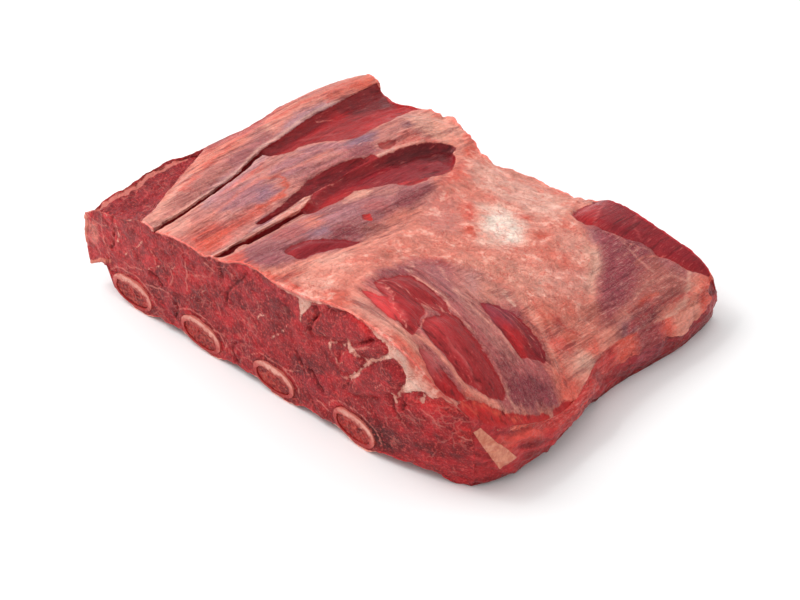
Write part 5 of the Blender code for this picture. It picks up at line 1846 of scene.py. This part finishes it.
def meatSurface(name):
    s = Surface(name)
    c = meatColours
    cover, flesh = s.stored("cover", 0), s.stored("flesh", 0)
    bareValue, raw, soft, lines = s.stored("bare"), s.stored("raw"), s.stored("soft"), s.stored("lines")
    across, depth = s.stored("across"), s.stored("depth")
    here = s.places()
    backward, sideward = s.places((1, 0.09, 0.6), math.radians(-5)), s.places((0.09, 1, 0.6))

    def alongFibres(size, detail, roughness):
        back, side = s.noise(backward, size, detail, roughness), s.noise(sideward, size, detail, roughness)
        return back + across * (side - back)

    hair, streak, wide = alongFibres(0.8, 3, 0.6), alongFibres(1.7, 4, 0.6), alongFibres(4.5, 3, 0.55)
    fine, grain, blotch = s.noise(here, 0.9, 3, 0.6), s.noise(here, 2.2, 3, 0.65), s.noise(here, 8, 4, 0.6)
    wander = s.noise(here, 3.2, 4, 0.65)

    # Fat and silverskin: the painted tone, mottled in the fat and streaked in the silverskin. Its pale
    # flecks, threads and mottling are partly real pale fibres and fat and partly painted wet glints.
    mottle = 0.60 * blotch + 0.30 * wander + 0.10 * grain
    streaks = 0.42 * streak + 0.38 * wide + 0.20 * hair
    pattern = streaks + soft * (mottle - streaks)
    coverTone = s.scaled(cover, (2.4 - 0.7 * soft) * pattern + (0.36 * soft - 0.31))
    threads = ((hair * 0.5 + streak * 0.5) - 0.5).absolute()
    network = (s.noise(here, 8, 4, 0.55, 1.0) - 0.5).absolute()
    wrinkle = (s.noise(here, 5, 3, 0.6, 1.5) - 0.5).absolute()
    flow = (s.noise(s.places((1, 0.35, 1), 0.9), 3.5, 3, 0.55) - 0.5).absolute()
    coverTone = s.washed(coverTone, c, [
        ("shade", wide + 0.5 * (hair - 0.5), 0.46, 0.30, 0.5 - 0.5 * soft),
        ("blush", s.noise(here, 13, 4, 0.6), 0.52, 0.68, soft * 0.45),
        ("fleckAndGlint", hair * 0.6 + streak * 0.4, 0.55, 0.68, 0.30 - 0.24 * soft),
        ("fleckAndGlint", threads, 0.012, 0.0, (1 - soft) * 0.30),
        ("thread", network, 0.016, 0.0, 0.06 + 0.54 * soft),
        ("shade", wrinkle, 0.012, 0.0, 0.06 + 0.24 * soft),
        ("fleckAndGlint", wander * 0.4 + blotch * 0.6, 0.52, 0.64, soft * 0.5),
        ("thread", flow, 0.016, 0.0, soft * 0.4),
    ])

    # Bare muscle, streaked along its fibres, with thin lighter threads that are partly painted wet glints.
    fleshTone = s.scaled(flesh, 2.4 * (0.40 * streak + 0.35 * wide + 0.25 * hair) - 0.15)
    fleshTone = s.washed(fleshTone, c, [
        ("fibre", hair * 0.7 + streak * 0.3, 0.56, 0.70, 0.45),
        ("speck", threads, 0.008, 0.0, 0.30),
        ("deep", streak * 0.5 + wide * 0.5, 0.46, 0.34, 0.6),
    ])

    # Sawn muscle: a grain of fine pale specks, partly real grain and partly painted wet glints, and dark
    # gaps, and a faint pale net around its bundles.
    speckles, gaps = s.noise(here, 1.1, 2, 0.6), s.noise(here, 1.7, 3, 0.65)
    rawTone = s.scaled(flesh, 0.62 + 0.76 * s.fade(0.35 * grain + 0.40 * blotch + 0.25 * fine, 0.38, 0.62))
    shift = {0: s.noise(here, 7, 3, output=1), 1: (7 * mm,) * 3, 2: here}
    bent = s.node("ShaderNodeVectorMath", {"operation": "MULTIPLY_ADD"}, shift)
    net = s.cells(bent, 8, "DISTANCE_TO_EDGE")
    rawTone = s.washed(rawTone, c, [
        ("seam", net, 0.06, 0.0, s.fade(s.noise(here, 12, 3), 0.48, 0.62) * 0.30),
        ("speck", speckles * 0.7 + grain * 0.3, 0.53, 0.65, 0.55),
        ("deep", gaps, 0.40, 0.28, 0.35),
    ])
    muscleTone = s.blend(raw, fleshTone, rawTone)

    # Where the muscle lies bare, the pale lines, and painted shade that darkens it in slits, hollows and
    # creases.
    raggedness = (wander - 0.5) * 2.4 + (streak - 0.5) * (1 - raw) + (blotch - 0.5) * 2.8 * raw
    bareIn = s.fade(bareValue + raggedness, 0.35, -0.35)
    tone = s.blend(bareIn, coverTone, muscleTone)
    lineIn = s.fade(lines + (wander - 0.5) * 0.9 + (fine - 0.5) * 0.5, 0.35, -0.35)
    tone = s.blend(lineIn * (0.75 - 0.2 * raw), tone, c["seam"])
    tone = s.blend(depth * bareIn, tone, c["deep"])

    height = bareIn * (0.45 * streak + 0.35 * hair) * (1 - raw) + raw * (0.55 * grain + 0.45 * speckles)
    skin = 0.6 * pattern + 0.3 * wander + (0.3 - 0.2 * soft) * hair - 0.25 * s.fade(wrinkle, 0.05, 0.0)
    rough = 0.43 - 0.08 * bareIn + 0.16 * (grain - 0.5) + 0.06 * soft
    return s.set(
        Base_Color=tone, Roughness=rough, Normal=s.bump(height + (1 - bareIn) * skin, 1.1, 0.9), IOR=1.36,
        Specular_IOR_Level=0.25, Coat_Weight=0.1, Coat_Roughness=0.16, Subsurface_Weight=0.14,
        Subsurface_Scale=1.0, Subsurface_Radius=(0.0030, 0.0010, 0.0007),
    )


def tendonSurface():
    s = Surface("tendon")
    here, backward = s.places(), s.places((1, 0.3, 0.25), 0.5)
    streak, grain = s.noise(backward, 1.2, 3, 0.6), s.noise(here, 2.4, 3, 0.6)
    tone = s.blend(s.fade(streak * 0.6 + grain * 0.4, 0.40, 0.62), (196, 104, 78), (222, 142, 112))
    return s.set(
        Base_Color=tone, Roughness=0.42, Normal=s.bump(streak, 0.5, 0.6), Coat_Weight=0.2, Coat_Roughness=0.2,
        Subsurface_Weight=0.12, Subsurface_Radius=(0.002, 0.001, 0.0007), Subsurface_Scale=1.0,
    )


boneColours = {"cream": (212, 136, 120), "pale": (226, 162, 144), "pink": (196, 84, 76), "red": (160, 32, 32)}


def boneSurface():
    s = Surface("sawn bone")
    c = boneColours
    inward, rise = s.stored("inward"), s.stored("rise")
    here = s.places()
    pores, blotch, wander = s.noise(here, 0.9, 3, 0.6), s.noise(here, 5, 3, 0.6), s.noise(here, 2.4, 3, 0.6)
    low = rise * 0.5 + (wander - 0.5) * 0.8
    tone = s.washed(s.blend(s.fade(blotch, 0.4, 0.6), c["cream"], c["pale"]), c, [
        ("red", inward + (wander - 0.5) * 1.6, 0.40, 0.95, 0.9),
        ("pink", inward + (wander - 0.5) * 0.6, 0.22, 0.0, 0.7),
        ("pink", low, 0.38, 0.0, 0.85),
        ("red", low, 0.12, -0.28, 0.9),
        ("pink", pores, 0.56, 0.68, 0.5),
    ])
    return s.set(
        Base_Color=tone, Roughness=0.42 + 0.2 * (pores - 0.5), Normal=s.bump(pores + 0.5 * wander, 0.4, 0.6),
        Specular_IOR_Level=0.3, Subsurface_Weight=0.1, Subsurface_Radius=(0.002, 0.001, 0.0007),
        Subsurface_Scale=1.0,
    )


marrowColours = {"dark": (116, 16, 18), "red": (168, 40, 34), "bone": (206, 100, 82)}


def marrowSurface():
    s = Surface("marrow")
    c = marrowColours
    here = s.places()
    cells, blotch, wander = s.cells(here, 1.6), s.noise(here, 4, 3, 0.6), s.noise(here, 1.2, 3, 0.6)
    tone = s.blend(s.fade(blotch + (wander - 0.5) * 0.6, 0.38, 0.60), c["dark"], c["red"])
    tone = s.washed(tone, c, [("bone", cells + (wander - 0.5) * 0.6, 0.5, 0.85, 0.45)])
    return s.set(
        Base_Color=tone, Roughness=0.42 + 0.2 * (wander - 0.5), Normal=s.bump(cells + wander, 0.7, 0.8),
        Specular_IOR_Level=0.3, Subsurface_Weight=0.1, Subsurface_Radius=(0.002, 0.0007, 0.0005),
        Subsurface_Scale=1.0,
    )


def paintPiece(thing, material):
    thing.data.materials.clear()
    thing.data.materials.append(material)


meatMaterial = meatSurface("raw beef")
boneMaterial, marrowMaterial = boneSurface(), marrowSurface()
finishPiece(lean, "lean_meat_carved", ["lean_meat"])
finishPiece(fat, "fat_cap", ["fat_layer"])
finishPiece(tendon, "tendon_end", ["tendon"])
paintPiece(lean, meatMaterial)
paintPiece(fat, meatMaterial)
paintPiece(tendon, tendonSurface())
for bone, marrow in zip(bones, marrows):
    paintPiece(bone, boneMaterial)
    paintPiece(marrow, marrowMaterial)
print("materials made")


# Camera, floor and light.
view = {"azimuth": 43.0, "elevation": 36.0, "lens": 85.0, "distance": 965.2, "target": (0.0, 0.0, 30.0)}
studio = {
    "floorSize": 6.0, "floorDrop": 0.0002, "floorColour": (0.93, 0.93, 0.93, 1), "worldLight": 0.78,
    "worldColour": (1, 1, 1, 1),
}
lamps = [
    {"name": "window", "from": (-1.05, -0.50, 1.3), "size": 1.2, "watts": 18.0},
    {"name": "overhead", "from": (-0.1, 0.2, 1.6), "size": 1.4, "watts": 3.0},
    {"name": "spark", "from": (-0.75, -0.5, 1.5), "size": 0.14, "watts": 1.6},
]


def addCamera():
    azimuth, elevation = math.radians(view["azimuth"]), math.radians(view["elevation"])
    level = math.cos(elevation)
    away = Vector((math.sin(azimuth) * level, -math.cos(azimuth) * level, math.sin(elevation)))
    target = Vector((np.array(view["target"]) + markShift) * mm)
    data = bpy.data.cameras.new("camera")
    data.lens, data.sensor_width, data.clip_start = view["lens"], 36.0, 0.01
    camera = bpy.data.objects.new("camera", data)
    turned = away.to_track_quat("Z", "Y").to_matrix().to_4x4()
    camera.matrix_world = Matrix.Translation(target + away * view["distance"] * mm) @ turned
    bpy.context.scene.collection.objects.link(camera)
    bpy.context.scene.camera = camera


def addStudio():
    bpy.ops.mesh.primitive_plane_add(size=studio["floorSize"], location=(0, 0, -studio["floorDrop"]))
    floor = bpy.context.object
    floor.name = "floor"
    surface = Surface("floor")
    surface.set(Base_Color=studio["floorColour"], Roughness=0.7, Specular_IOR_Level=0.1)
    floor.data.materials.append(surface.material)
    world = bpy.data.worlds.new("studio")
    world.use_nodes = True
    sky = world.node_tree.nodes["Background"]
    sky.inputs["Color"].default_value = studio["worldColour"]
    sky.inputs["Strength"].default_value = studio["worldLight"]
    bpy.context.scene.world = world
    for lamp in lamps:
        data = bpy.data.lights.new(lamp["name"], "AREA")
        data.shape, data.size, data.energy = "DISK", lamp["size"], lamp["watts"]
        light = bpy.data.objects.new(lamp["name"], data)
        light.location = lamp["from"]
        light.rotation_euler = (-Vector(lamp["from"])).to_track_quat("-Z", "Y").to_euler()
        bpy.context.scene.collection.objects.link(light)
    bpy.context.scene.view_settings.view_transform = "Standard"


addCamera()
addStudio()
print("studio made")
